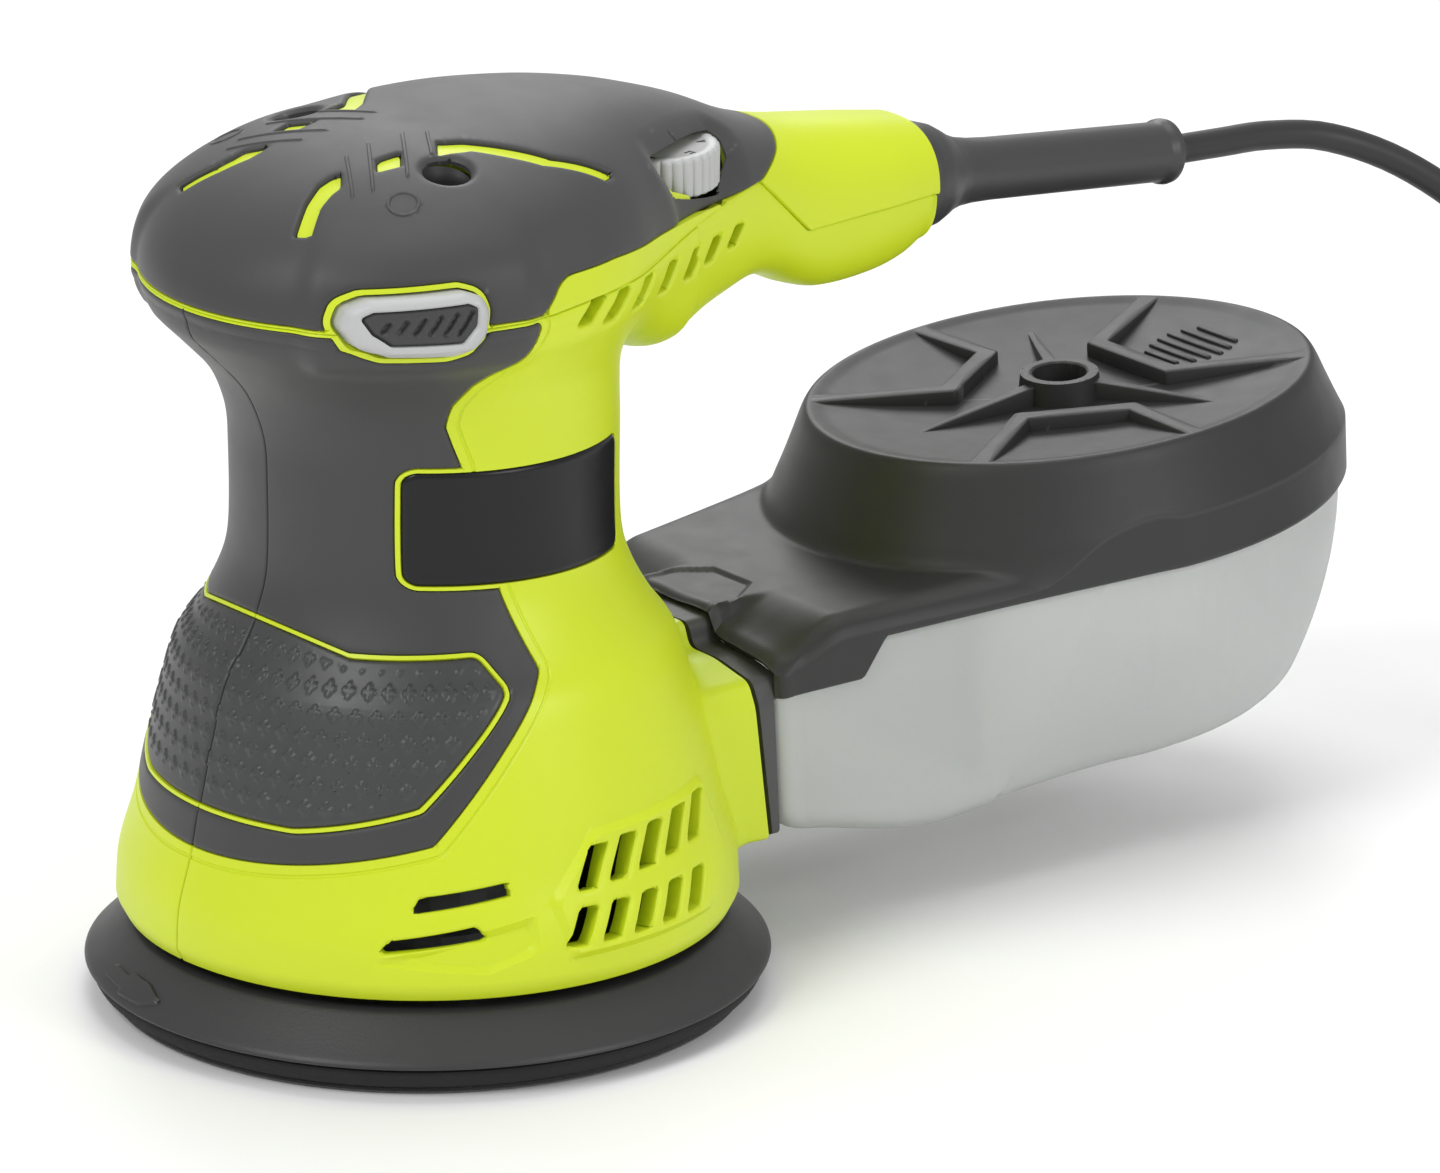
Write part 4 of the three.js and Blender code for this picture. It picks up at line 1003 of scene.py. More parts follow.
def palm_piece(upper):
    between_accents = all_of(PALM_OUTLINE, apart_from(ACCENT_RULE))
    palm = kept(upper, all_of(between_accents, apart_from(PIT_RULE), apart_from(DIAL_WINDOW)))
    palm = carved(palm, apart_from(DIAL_WINDOW), WINDOW_EDGE)
    palm = carved(palm, apart_from(PIT_RULE), PIT_EDGE)
    palm = welded(palm_relief(eased(palm, between_accents)))
    layer = without_switches(palm, LAYER + 0.2, SWITCH_BEAD)
    piece("palm_grip", layer, SOFT, "housing", "soft_grip", ["palm_overmould"])


def pieces_of_the_body():
    whole = whole_skin()
    whole = raised(whole, pillow(whole.points))
    lower = kept(whole, apart_from(COVER_RULE, COVER_GAP))
    for rule in (PANEL_RULE, BADGE_RULE):
        for level in (0, BEAD / 2, BEAD):
            lower = cut(lower, rule, level)
    upper = kept(whole, COVER_RULE)
    for side, word in SIDES:
        housing_piece(lower, side, word)
        grip_piece(lower, side, word)
        panel_piece(lower, side, word)
        badge_piece(lower, side, word)
    cover_piece(upper)
    palm_piece(upper)
    screw_funnel()
    switch_pieces(whole)


def screw_funnel():
    """The dark sleeve of each screw pit under the palm, with a floor."""
    x, y, radius = SCREW_PIT
    profile = [(0, 158.6), (radius + 0.8, 158.6), (radius + 0.8, 169.6), (radius + 0.1, 170.4),
               (radius - 0.6, 169), (radius - 1.2, 160.2), (0, 160.2)]
    points, faces = moved(lathe(divided(profile, 1.0), 64), (x, y, 0))
    points[:, 2] += PALM_SLOPE * (x - points[:, 0]) * smoothstep(points[:, 2], 161, 169)
    sleeve = (points, faces)
    piece("screw_sleeves", joined(sleeve, flipped(sleeve)), BLACK, "housing", "black_plastic")


# ---------------------------------------------------------------- textured panels, badges and switch
CROSS_PITCH, CROSS_REACH, CROSS_LOBE, CROSS_HEIGHT = 4.4, 0.85, 0.6, 0.36
PANEL_SET_BACK = 0.25


def cross_height(points):
    """Small raised crosses in staggered rows round the lower body."""
    along = np.arctan2(points[:, 1], np.abs(points[:, 0])) * 52
    up = points[:, 2]
    row = np.round(up / CROSS_PITCH)
    stagger = 0.5 * (row % 2)
    u = along - CROSS_PITCH * (np.round((along - CROSS_PITCH * stagger) / CROSS_PITCH) + stagger)
    v = up - row * CROSS_PITCH
    lobes = [np.hypot(np.abs(u) - CROSS_REACH, v), np.hypot(u, np.abs(v) - CROSS_REACH), np.hypot(u, v)]
    nearest = np.minimum.reduce(lobes) - CROSS_LOBE
    return CROSS_HEIGHT * smoothstep(-nearest, -0.18, 0.18)


def panel_piece(lower, side, word):
    edge = all_of(PANEL_RULE, side_rule(side))
    inner = kept(halved(kept(lower, edge), 1), edge)
    fine = halved(inner, 1)
    fade = smoothstep(-PANEL_RULE(fine.points), 1.2, 2.6)
    fine = raised(fine, cross_height(fine.points) * fade)
    solid = thick(raised(eased(fine, edge), -PANEL_SET_BACK), LAYER)
    piece(f"grip_texture_{word}", solid, PANEL_SKIN, "housing", "grip_texture", [f"grip_panel_{word}"])


BADGE_ROUND = [(-1.1, -0.1), (-0.7, -0.04), (-0.3, 0.15), (0, 0.5)]


def badge_piece(lower, side, word):
    skin = kept(lower, all_of(BADGE_RULE, side_rule(side)))
    skin = carved(skin, BADGE_RULE, BADGE_ROUND)
    piece(f"badge_plate_{word}", thick(skin, LAYER), BADGE_FACE, "housing", "badge", [f"badge_{word}"])


SWITCH_SHIFT, CAP_DEPTH, INSERT_DEPTH, INSERT_PROUD = 2, 5, 3.5, 0.2
INSERT_SLOTS = any_of(*[capsule(-38.2 + i * 2.6, 150.3 + i * 0.06, 2.8 + i * 0.6, 1.15, 32)
                        for i in range(6)])
CAP_ROUND = [(-2.8, -1), (-2, -0.9), (-1.2, -0.55), (-0.6, 0), (-0.25, 0.5), (0, 1.2)]


def switch_pieces(whole):
    """The two ends of the push-through switch, each a pale bezel round a dark slotted insert."""
    for side, word in SIDES:
        near = halved(kept(whole, all_of(SWITCH_RULE, side_rule(side))), 1)
        cap = carved(kept(near, apart_from(INSERT_RULE)), SWITCH_RULE, CAP_ROUND)
        cap = carved(cap, apart_from(INSERT_RULE), [(-0.8, 0), (-0.3, 0.12), (0, 0.5)])
        shift = (SWITCH_SHIFT, 0, 0)
        cap = moved(thick(along_x(cap, side), CAP_DEPTH), shift)
        piece(f"switch_bezel_{word}", cap, LIGHT, "switch", "light_plastic", [f"switch_cap_{word}"])
        insert = carved(kept(near, INSERT_RULE), INSERT_SLOTS, [(-0.4, 1.1), (0, 0.15), (0.25, 0)])
        insert = carved(raised(insert, INSERT_PROUD), INSERT_RULE, [(-0.5, 0), (0, 0.5)])
        insert = moved(thick(along_x(insert, side), INSERT_DEPTH), shift)
        piece(f"switch_grip_{word}", insert, SOFT, "switch", "soft_grip", [f"switch_insert_{word}"])


# ---------------------------------------------------------------- speed dial
DIAL_X, DIAL_Y, DIAL_RADIUS, DIAL_LOW, DIAL_TOP = 13, 46, 13, 156.4, 164.4
DIAL_RIBS, RIB_DEPTH = 34, 0.42
DIAL_EDGE = [(DIAL_LOW, 0.5), (DIAL_LOW + 0.4, 0.1), (DIAL_TOP - 1, 0), (DIAL_TOP - 0.45, 0.12),
             (DIAL_TOP - 0.12, 0.45), (DIAL_TOP, 1.0), (DIAL_TOP, 2.4), (DIAL_TOP - 0.25, 2.8),
             (DIAL_TOP - 0.25, 6)]
DIGIT_STROKES = {
    "1": [[(0, 1), (0, -1)]],
    "2": [[(-0.5, 0.7), (0, 1), (0.5, 0.6), (-0.5, -1), (0.5, -1)]],
    "3": [[(-0.5, 0.8), (0.4, 0.8), (0, 0.1), (0.5, -0.5), (0, -1), (-0.5, -0.7)]],
    "4": [[(0.3, -1), (0.3, 1), (-0.5, -0.3), (0.55, -0.3)]],
    "5": [[(0.5, 1), (-0.4, 1), (-0.4, 0.2), (0.3, 0.2), (0.5, -0.4), (0.1, -1), (-0.5, -0.8)]],
    "6": [[(0.4, 0.9), (-0.3, 0.3), (-0.5, -0.5), (0, -1), (0.5, -0.5), (0, 0), (-0.45, -0.3)]],
}
DIGIT_SIZE, DIGIT_WIDTH, DIGIT_RING = 1.5, 0.38, 10.2
FIRST_DIGIT, DIGIT_PITCH = -38, 50
DIGIT_LEVELS = DIAL_TOP - 0.35, DIAL_TOP - 0.2 + 0.02


def bar(a, b, width, low, high):
    """A flat bar between two plan points."""
    a, b = np.array(a, float), np.array(b, float)
    along = (b - a) / max(np.linalg.norm(b - a), 1e-9) * width / 2
    across = np.array([-along[1], along[0]])
    base = np.array([a - along - across, b + along - across, b + along + across, a - along + across])
    return prism(base, low, high)


def dial_wheel():
    turn = np.linspace(0, 2 * math.pi, DIAL_RIBS * 12, endpoint=False)
    ribs = RIB_DEPTH * np.abs(np.sin(turn * DIAL_RIBS / 2)) ** 0.6 - RIB_DEPTH
    rows = []
    for z, inset in DIAL_EDGE:
        r = DIAL_RADIUS - inset + (ribs if inset < 1 else 0 * ribs)
        rows.append(level_ring(np.column_stack([DIAL_X + r * np.cos(turn), DIAL_Y + r * np.sin(turn)]), z))
    piece("dial_wheel", capped(rows), LIGHT, "dial", "light_plastic", ["speed_dial"])


def dial_numbers():
    """The numbers of the settings, raised round the rim of the dial."""
    strokes = []
    for i, digit in enumerate("654321"):
        heading = math.radians(FIRST_DIGIT + i * DIGIT_PITCH)
        out = np.array([math.cos(heading), math.sin(heading)])
        centre = np.array([DIAL_X, DIAL_Y]) + DIGIT_RING * out
        across = np.array([-out[1], out[0]])
        for line in DIGIT_STROKES[digit]:
            spots = [centre + DIGIT_SIZE * (out * -y + across * -x) for x, y in line]
            strokes += [bar(a, b, DIGIT_WIDTH, *DIGIT_LEVELS) for a, b in zip(spots, spots[1:])]
    piece("dial_numbers", joined(*strokes), INK, "dial", "black_plastic")


# ---------------------------------------------------------------- seal between the duct and the dust box
SEAL_POINTS, SEAL_CORNER, SEAL_OUTER_INSET, SEAL_INNER_INSET = 240, 1.4, 0.5, 3.4
SEAL_NEAR_GAP, SEAL_THICKNESS, SEAL_TAB_EXTRA = 0.05, 3.0, 2


def seal_ring(inset):
    """The duct's outline moved in, as a fixed number of points."""
    ring = rounded(grown(PORT_SECTION, -inset), SEAL_CORNER, SKIN_STEP)
    ring = resampled(np.concatenate([ring, ring[:1]]), SKIN_STEP)
    pick = np.linspace(0, len(ring) - 1, SEAL_POINTS, endpoint=False)
    return np.column_stack([np.interp(pick, np.arange(len(ring)), column) for column in ring.T])


def leaning_ring(ring, slope, gap):
    """A ring in the plane that leans by a slope, behind the duct by a gap."""
    return np.column_stack([ring[:, 0], PORT_Y + gap - ring[:, 1] * slope, PORT_Z + ring[:, 1]])


def port_seal():
    """A black rubber ring that fills the wedge between the duct's face and the box."""
    outer, inner = seal_ring(SEAL_OUTER_INSET), seal_ring(SEAL_INNER_INSET)
    near = [leaning_ring(ring, PORT_SLOPE, SEAL_NEAR_GAP) for ring in (outer, inner)]
    box_slope = math.tan(math.radians(BOX_TILT))
    far = [leaning_ring(ring, box_slope, SEAL_THICKNESS + SEAL_TAB_EXTRA * smoothstep(ring[:, 1], 12, 14))
           for ring in (outer, inner)]
    points, faces = grid([near[0], far[0], far[1], near[1], near[0]])
    last = 4 * SEAL_POINTS
    faces = np.where(faces >= last, faces - last, faces)
    seal = outward(points[:last], faces)
    piece("port_ring", seal, CORD_RUBBER, "housing", "cord_rubber", ["dust_port_seal"])


# ---------------------------------------------------------------- sanding pad
PAD_RADIUS = 62.5
DUST_HOLES = [(40 * math.cos(a), 40 * math.sin(a)) for a in np.radians(22.5 + 45 * np.arange(8))]
SCREW_HOLES = [(13 * math.cos(a), 13 * math.sin(a)) for a in np.radians(90 + 120 * np.arange(3))]


def rod(x, y, radius, low, high, sides=40):
    return moved(lathe([(0, low), (radius, low), (radius, high), (0, high)], sides), (x, y, 0))


def drilled(solid, screw_radius):
    """A layer of the pad with its dust holes and screw holes."""
    holes = [(x, y, 4.5) for x, y in DUST_HOLES] + [(x, y, screw_radius) for x, y in SCREW_HOLES]
    return combined(solid, *[rod(x, y, radius, -2, 30) for x, y, radius in holes], operation="DIFFERENCE")


def on_pad(solid):
    return moved(solid, (PAD_X, PAD_Y, 0))


HOOK_PROFILE = [(0, 0), (PAD_RADIUS - 1, 0), (PAD_RADIUS - 0.3, 0.2), (PAD_RADIUS, 0.6),
                (PAD_RADIUS - 0.3, 1.05), (PAD_RADIUS - 1, 1.2), (0, 1.2)]
FOAM_PROFILE = [(0, 1.5), (62.4, 1.5), (62.9, 1.6), (64.1, 2.4), (65.1, 3.4), (65.6, 4.3), (65.7, 5),
                (65.5, 5.6), (65, 5.9), (0, 5.9)]
SOFT_SCREW_RADIUS, PLATE_SCREW_RADIUS = 4.8, 2.3


def holed_disc(name, profile, material, slot, node):
    piece(name, on_pad(drilled(lathe(profile, 192), SOFT_SCREW_RADIUS)), material, "pad", slot, [node])


PLATE_PROFILE = [(0, 6.2), (66, 6.2), (66.7, 6.45), (67, 6.9), (66.9, 7.3), (66.3, 7.9), (64.5, 9.5),
                 (62, 11.8), (59.6, 14), (58.6, 14.9), (57.6, 15.3), (56.4, 15.4), (50, 15.4),
                 (49.3, 15), (47.2, 9.8), (46.4, 9.4), (24, 9.4), (22, 12), (0, 12)]
ARROW = [(-14, -1.6), (-6, -1.6), (-6, -2.6), (2.4, -2.2), (8, 0.1), (1.6, 2.4), (-6, 2.6), (-6, 1.6),
         (-14, 1.6)]
ARROW_HEADING, ARROW_HEIGHT = -97, 9.8


def arrow_rule(points):
    """The rotation arrow moulded into the rim of the backing plate."""
    heading = np.degrees(np.arctan2(points[:, 1], points[:, 0])) - ARROW_HEADING
    flat = np.column_stack([heading * 0, heading * math.radians(64), (points[:, 2] - ARROW_HEIGHT) * 1.35])
    return outline_rule(ARROW, 0.3)(flat)


def backing_disc():
    skin = Skin(*drilled(lathe(divided(PLATE_PROFILE, 1.2), 360), PLATE_SCREW_RADIUS))
    skin = carved(skin, arrow_rule, [(-0.35, -0.6), (0, 0)])
    plate = on_pad((skin.placed(), skin.faces))
    piece("backing_disc", plate, PLATE, "pad", "plate_plastic", ["backing_plate"])


# ---------------------------------------------------------------- cord boot
BOOT_PROFILE = [(0, 0), (9, 0), (9, 3.2), (7, 3.4), (7, 10.8), (10.4, 10.9), (10.9, 11.2), (11.1, 12.4),
                (11, 13.4), (10.3, 16.5), (9.2, 18.8), (8, 21), (7, 24), (6.5, 28), (6.3, 33),
                (6.2, 50), (6.1, 76.9), (6.2, 77.7), (6.6, 78.3), (6.7, 79.2), (6.5, 80.2),
                (6, BOOT_LENGTH), (3.3, BOOT_LENGTH), (3.1, 79.6), (0, 79.6)]


def cord_boot():
    droop = math.radians(BOOT_DROOP)
    start = (0, BOOT_END_Y - BOOT_LENGTH * math.cos(droop), BOOT_END_Z + BOOT_LENGTH * math.sin(droop))
    turn = Matrix.Rotation(-math.pi / 2 - droop, 4, "X")
    piece("cord_sleeve", moved(lathe(divided(BOOT_PROFILE, 1.5), 96), start, turn), BOOT_RUBBER, "housing",
          "black_plastic", ["cord_boot"])


# ---------------------------------------------------------------- dust box, drawn along its own axis
def on_box(solid):
    return moved(solid, (0, PORT_Y, PORT_Z), Matrix.Rotation(math.radians(BOX_TILT), 4, "X"))


FRONT_CORNER = 2.5


def box_plan(inset, front, step=1.3):
    """Plan outline of the box, from the middle of its front all the way round."""
    half = PORT_HALF_WIDTH - inset
    side = [(half, front + 3), (half, 8), (38.4 - inset, 48), (46.2 - inset, 88)]
    side += [((BOX_HALF_WIDTH - inset) * math.cos(a), BOX_CENTRE + (BOX_END - inset) * math.sin(a))
             for a in np.radians(np.linspace(-8, 90, 11))]
    front_edge = [(x, front) for x in np.arange(0, half - FRONT_CORNER, step)]
    corner = [(half - FRONT_CORNER * (1 - math.sin(a)), front + FRONT_CORNER * (1 - math.cos(a)))
              for a in np.radians((15, 45, 75))]
    right = np.concatenate([front_edge, corner, resampled(side, step)])
    return np.concatenate([right, right[1:-1][::-1] * (-1, 1)])


TUB_WALL, TUB_FRONT, TUB_MIDDLE, TUB_EDGE_RADIUS, TUB_LEVEL_STEP = 1.8, 3.7, 84.0, 6, 1.25
TUB_NARROWING, TUB_REAR_DRAW, FOOT_DEPTH, FOOT_RADIUS, FOOT_SLOPE = 0.24, 13, 6, 22.6, 2.6
RIB_PITCH, RIB_HEIGHT = 5.5, 0.22
FOLD_Y, FOLD_Z, FOLD_SLOPE = 63, -10, 0.52
STEP_FROM, STEP_TO = 22.5, 28
SHOULDER = [(-5, 12), (STEP_FROM, 12), (STEP_TO, BOX_RIM + 0.1), (STEP_TO, 60), (-5, 60)]
TUB_MOUTH, MOUTH_DEPTH = [(-28, -12.5), (28, -12.5), (28, 40), (-28, 40)], 9


def tub_drawn_in(points):
    """Draws the tub in lower down, lifts its floor towards the duct and lowers its round foot."""
    x, y, z = points.T
    on_foot = 1 - smoothstep(np.hypot(x, y - BOX_CENTRE), FOOT_RADIUS, FOOT_RADIUS + FOOT_SLOPE)
    lowered = z - FOOT_DEPTH * on_foot * (z < BOX_FLOOR + 0.01)
    depth = np.maximum(BOX_RIM - z, 0) / (BOX_RIM - BOX_FLOOR)
    narrowing = TUB_NARROWING * smoothstep(y, 10, 90) * depth ** 2
    lift = (PORT_LOW - BOX_FLOOR + 0.6) * (1 - smoothstep(y, 0, 46)) * depth
    rear = np.maximum(y - BOX_CENTRE, 0) / BOX_END
    return np.column_stack([x * (1 - narrowing), y - rear * TUB_REAR_DRAW * depth ** 2, lowered + lift])


def tub_skin():
    """The tub's outer face: sides, a rounded edge and a floor."""
    span = BOX_RIM - BOX_FLOOR
    rings = [(0.0, BOX_RIM - d) for d in np.arange(0, span - TUB_EDGE_RADIUS, TUB_LEVEL_STEP)]
    rings += [(TUB_EDGE_RADIUS * (1 - math.cos(a)), BOX_FLOOR + TUB_EDGE_RADIUS * (1 - math.sin(a)))
              for a in np.radians(np.linspace(0, 90, 8))]
    plan = box_plan(0, TUB_FRONT)
    middle = np.array([0, TUB_MIDDLE])
    inward = middle - plan
    reach = np.linalg.norm(inward, axis=1)[:, None]
    rows = [level_ring(plan + inward / reach * inset, z) for inset, z in rings]
    rows += [level_ring(plan + inward * (share + (1 - share) * TUB_EDGE_RADIUS / reach), BOX_FLOOR)
             for share in np.linspace(0.06, 0.97, 44)]
    points, faces = with_middle(*grid(rows), len(plan), (*middle, BOX_FLOOR), at_end=True)
    made = tub_drawn_in(points)
    if ((made[faces].mean(1) - made.mean(0)) * face_normals(made, faces)).sum() < 0:
        faces = faces[:, ::-1]
    return Skin(made, faces)


def tub_ribs(points):
    """Height of the faint upright ribs on the sides of the tub."""
    _, y, z = points.T
    crest = smoothstep(np.cos((y - 60) * 2 * math.pi / RIB_PITCH), 0.75, 0.95)
    on_side = smoothstep(y, 70, 74) * smoothstep(-y, -128, -120) * smoothstep(z, -16, -10)
    return RIB_HEIGHT * crest * on_side


def tub_fold(points):
    """Distance past the slanting fold that crosses the tub's sides."""
    return points[:, 1] - FOLD_Y - FOLD_SLOPE * (points[:, 2] - FOLD_Z)


def tub_piece():
    skin = tub_skin()
    mouth = outline_rule(TUB_MOUTH, 2, axes=(0, 2))
    skin = kept(skin, apart_from(all_of(mouth, lambda p: p[:, 1] - MOUTH_DEPTH)))
    skin = kept(skin, apart_from(outline_rule(SHOULDER)))
    skin = carved(skin, tub_fold, [(-1.2, -0.35), (1.2, 0.35)])
    skin = raised(skin, tub_ribs(skin.points))
    skin = carved(skin, lambda p: p[:, 2] - BOX_RIM, [(-0.7, 0), (0, 0.4)])
    piece("tub_shell", on_box(thick(skin, TUB_WALL)), TUB, "dust_box", "tub_plastic", ["dust_tub"])


LID_WALL, LID_STEP, LID_OVERHANG, LID_FRONT = 1.7, 0.9, 1.4, 3.1
OPENING_DEPTH, OPENING_HALF_WIDTH = 3.2, 34
DECK, LID_EDGE, LID_FRONT_EDGE = 25.6, 20.0, 12.3
PORT_CREST = through([(0, 26.4), (11.6, 26.2), (13.4, 22.6), (20, 21.4), (27, 20.6), (31, 19.2), (34, 17)])
TURRET_PROFILE = through([(0, 41.3), (0.25, 41.6), (0.6, 42.7), (0.9, 44.3), (0.96, 44.9), (0.975, 45),
                          (0.99, 44.8), (1.0, 44.2), (1.015, 42.8), (1.05, 38.4), (1.1, 32.4),
                          (1.14, 28.3), (1.17, 26.4), (1.21, DECK)])
RIM_SHARE, FOOT_SHARE, FOOT_BLEND = 0.982, 1.21, 0.09
SHOULDER_DROP, SHOULDER_REACH, EDGE_DROP, EDGE_REACH = 3.0, 11, 1.2, 3
HUB_RADIUS, HUB_BORE, BAR_FOOT = 8.5, 5.6, 41.2
CHEVRON_HALF, CHEVRON_INNER, CHEVRON_OUTER, CROSSBAR_TAPER = 12.4, 17.6, 21.8, 1.4
LEG_LEAN, LEG_LENGTH, LEG_WIDTH, LEG_SKEW = 28, 36, 4.4, 1.2
FIN = [(-1.5, 7.2), (1.5, 7.2), (0.5, 41), (-0.5, 41)]
FIN_RISE, FIN_FALL, FIN_LENGTH = 1.0, 3.4, 40
RIDGES = [(5, 27), (7, 30), (8, 33), (8.4, 36), (7.6, 39), (6, 42)]
RIDGE_HALF_WIDTH, RIDGE_HEIGHT = 0.6, 0.55
PATCH = [(-11, 2), (-11, 12), (-6, 19), (6, 19), (11, 12), (11, 2)]


def turret_share(x, y):
    return np.hypot(x / TURRET_HALF_WIDTH, (y - BOX_CENTRE) / TURRET_HALF_LENGTH)


def lid_height(x, y, edge):
    """Height of the lid's upper face: the turret, and the deck that follows the duct's outline in front."""
    share = turret_share(x, y)
    back = smoothstep(y, 3, 20)
    deck = (1 - back) * PORT_CREST(np.abs(x)) + back * DECK
    shoulder = SHOULDER_DROP * np.clip(1 - edge / SHOULDER_REACH, 0, 1) ** 2
    lip = EDGE_DROP * np.clip(1 - edge / EDGE_REACH, 0, 1) ** 2
    deck = deck - shoulder * (1 - smoothstep(y, 50, 95)) * back - lip
    turret = TURRET_PROFILE(share)
    blend = smoothstep(share, FOOT_SHARE - FOOT_BLEND, FOOT_SHARE)
    return np.where(share < FOOT_SHARE, (1 - blend) * turret + blend * deck, deck)


def lid_edge(y):
    """Height of the lid's lower edge, which drops in front to take up the duct."""
    return np.interp(y, [STEP_FROM, STEP_TO], [LID_FRONT_EDGE, LID_EDGE])


def lid_skin():
    """The lid's upper face and skirt, from rings that run from the turret's middle out to the edge."""
    plan = box_plan(-LID_OVERHANG, LID_FRONT)
    headings = np.arctan2(plan[:, 0], -(plan[:, 1] - BOX_CENTRE))
    plan = plan[np.argsort(headings)]
    plan = resampled(np.concatenate([plan, plan[:1]]), LID_STEP)[:-1]
    centre = np.array([0, BOX_CENTRE])
    out = plan - centre
    to_foot = np.minimum(FOOT_SHARE / turret_share(plan[:, 0], plan[:, 1]), 1)
    shares = [*np.linspace(0.01, 0.92, 70), *np.linspace(0.93, FOOT_SHARE, 44)]
    reaches = [to_foot * share / FOOT_SHARE for share in shares]
    reaches += [to_foot * (1 - t) + t for t in np.linspace(0, 1, 61)[1:]]
    rings = []
    for reach in reaches:
        flat = centre + out * reach[:, None]
        gap = np.linalg.norm(plan - flat, axis=1)
        rings.append(np.column_stack([flat, lid_height(flat[:, 0], flat[:, 1], gap)]))
    top, low = rings[-1][:, 2], lid_edge(plan[:, 1])
    rings += [np.column_stack([plan, top * (1 - t) + low * t]) for t in np.linspace(0, 1, 9)[1:]]
    hub = (0, BOX_CENTRE, float(TURRET_PROFILE(0)))
    points, faces = with_middle(*grid(rings), len(plan), hub, at_end=False)
    if face_normals(points, faces)[:, 2].sum() < 0:
        faces = faces[:, ::-1]
    centres = points[faces].mean(1)
    open_front = (centres[:, 1] < OPENING_DEPTH) & (np.abs(centres[:, 0]) < OPENING_HALF_WIDTH)
    return Skin(points, faces[~open_front])


def risen(skin, rule, level, bevel=0.7):
    """Lifts the skin inside an outline up to a level, with a steep bevel round it."""
    skin = cut(cut(skin, rule, 0), rule, -bevel)
    share = np.clip(-rule(skin.points) / bevel, 0, 1)
    return raised(skin, share * np.maximum(level - skin.placed()[:, 2], 0))


def raised_bar(corners, low, top, heading, bevel=0.45):
    """A raised bar drawn in plan about the hub, with a bevelled edge. The top is a height or a rule."""
    turn = math.radians(heading)
    c, s = math.cos(turn), math.sin(turn)
    rows = []
    for inset, drop in ((0, None), (0, bevel), (bevel * 0.3, bevel * 0.35), (bevel, 0)):
        ring = rounded(grown(corners, -inset), 0.5, 1.2)
        x, y = ring[:, 0] * c - ring[:, 1] * s, ring[:, 0] * s + ring[:, 1] * c
        level = top(np.hypot(x, y)) if callable(top) else top
        z = np.full(len(ring), float(low)) if drop is None else level - drop + 0 * x
        rows.append((x, y + BOX_CENTRE, z))
    count = min(len(x) for x, _, _ in rows)
    even = []
    for row in rows:
        pick = np.linspace(0, len(row[0]), count, endpoint=False)
        at = np.arange(len(row[0]) + 1)
        even.append(np.column_stack([np.interp(pick, at, np.append(values, values[0])) for values in row]))
    return capped(even)


def chevron_bars(heading):
    """The crossbar and the two legs of one raised arch on the turret."""
    lean = math.radians(LEG_LEAN)
    dx, dy = LEG_LENGTH * math.sin(lean), LEG_LENGTH * math.cos(lean)
    taper = CHEVRON_HALF - CROSSBAR_TAPER
    crossbar = [(-CHEVRON_HALF, CHEVRON_INNER), (CHEVRON_HALF, CHEVRON_INNER), (taper, CHEVRON_OUTER),
                (-taper, CHEVRON_OUTER)]
    end_x, end_y = CHEVRON_HALF + dx, CHEVRON_INNER + dy
    leg = [(CHEVRON_HALF - LEG_WIDTH, CHEVRON_INNER), (CHEVRON_HALF, CHEVRON_INNER), (end_x, end_y),
           (end_x - LEG_WIDTH, end_y + LEG_SKEW)]
    other = [(-x, y) for x, y in leg][::-1]
    return [raised_bar(corners, BAR_FOOT, TURRET_TOP - 0.05, heading) for corners in (crossbar, leg, other)]


def fin_top(r):
    """Height of the crest of a fin, falling away from the hub."""
    return TURRET_TOP + FIN_RISE - FIN_FALL * r / FIN_LENGTH


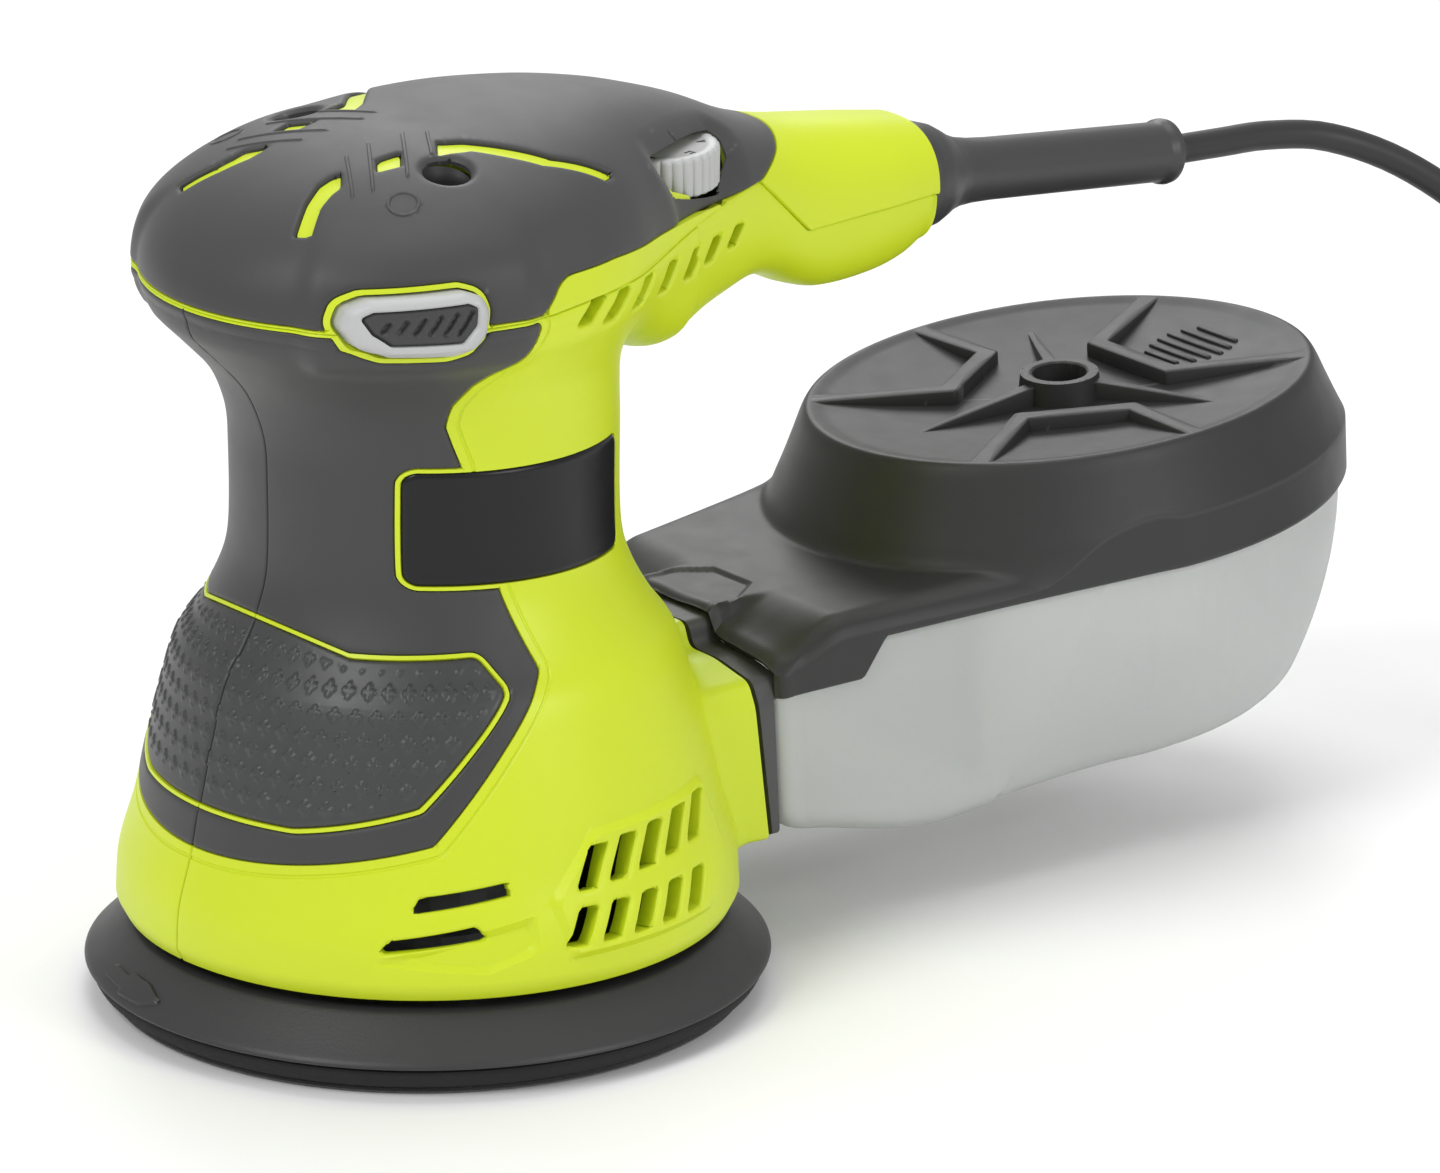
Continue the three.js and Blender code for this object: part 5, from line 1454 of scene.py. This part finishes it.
def finger_ridge(half, along):
    level = TURRET_PROFILE(along / TURRET_HALF_LENGTH) + RIDGE_HEIGHT
    near, far = along - RIDGE_HALF_WIDTH, along + RIDGE_HALF_WIDTH
    return raised_bar([(-half, near), (half, near), (half, far), (-half, far)], BAR_FOOT, level, 0, 0.3)


def turret_relief():
    """Everything that stands up from the dished turret: three arches, three fins and the finger ridges."""
    crossbars, legs, others = zip(*[chevron_bars(heading) for heading in (0, 120, 240)])
    fins = [raised_bar(FIN, BAR_FOOT - 0.6, fin_top, heading, 0.25) for heading in (60, 180, 300)]
    ridges = [finger_ridge(half, along) for half, along in RIDGES]
    turn = np.linspace(0, 2 * math.pi, 180, endpoint=False)
    rim = np.column_stack([RIM_SHARE * TURRET_HALF_WIDTH * np.cos(turn),
                           BOX_CENTRE + RIM_SHARE * TURRET_HALF_LENGTH * np.sin(turn)])
    drum = prism(rim, BAR_FOOT - 2, TURRET_TOP + 2)
    trimmed = [combined(joined(*bars), drum, operation="INTERSECT") for bars in (legs, others)]
    return joined(*crossbars, *fins, *ridges), *trimmed


def lid_piece():
    skin = lid_skin()
    skin = risen(skin, disc(0, BOX_CENTRE, HUB_RADIUS), HUB_TOP, 0.5)
    skin = carved(skin, disc(0, BOX_CENTRE, HUB_BORE), [(-0.5, 5.2), (0, 0.3), (0.5, 0)])
    skin = carved(skin, outline_rule(PATCH, 1, (0, 1)), [(-1.2, 0.7), (0, 0)])
    skin = carved(skin, lambda p: lid_edge(p[:, 1]) - p[:, 2], [(-0.6, 0), (0, 0.35)])
    lid = combined(thick(skin, LID_WALL), *turret_relief())
    piece("lid_shell", on_box(lid), LID, "dust_lid", "lid_plastic", ["dust_lid"])


camera()
floor()
studio()
cord_set()
finish_cad_nodes()
pieces_of_the_body()
dial_wheel()
dial_numbers()
port_seal()
holed_disc("hook_disc", HOOK_PROFILE, HOOK, "hook", "hook_face")
holed_disc("foam_disc", FOAM_PROFILE, FOAM, "foam", "pad_foam")
backing_disc()
cord_boot()
tub_piece()
lid_piece()
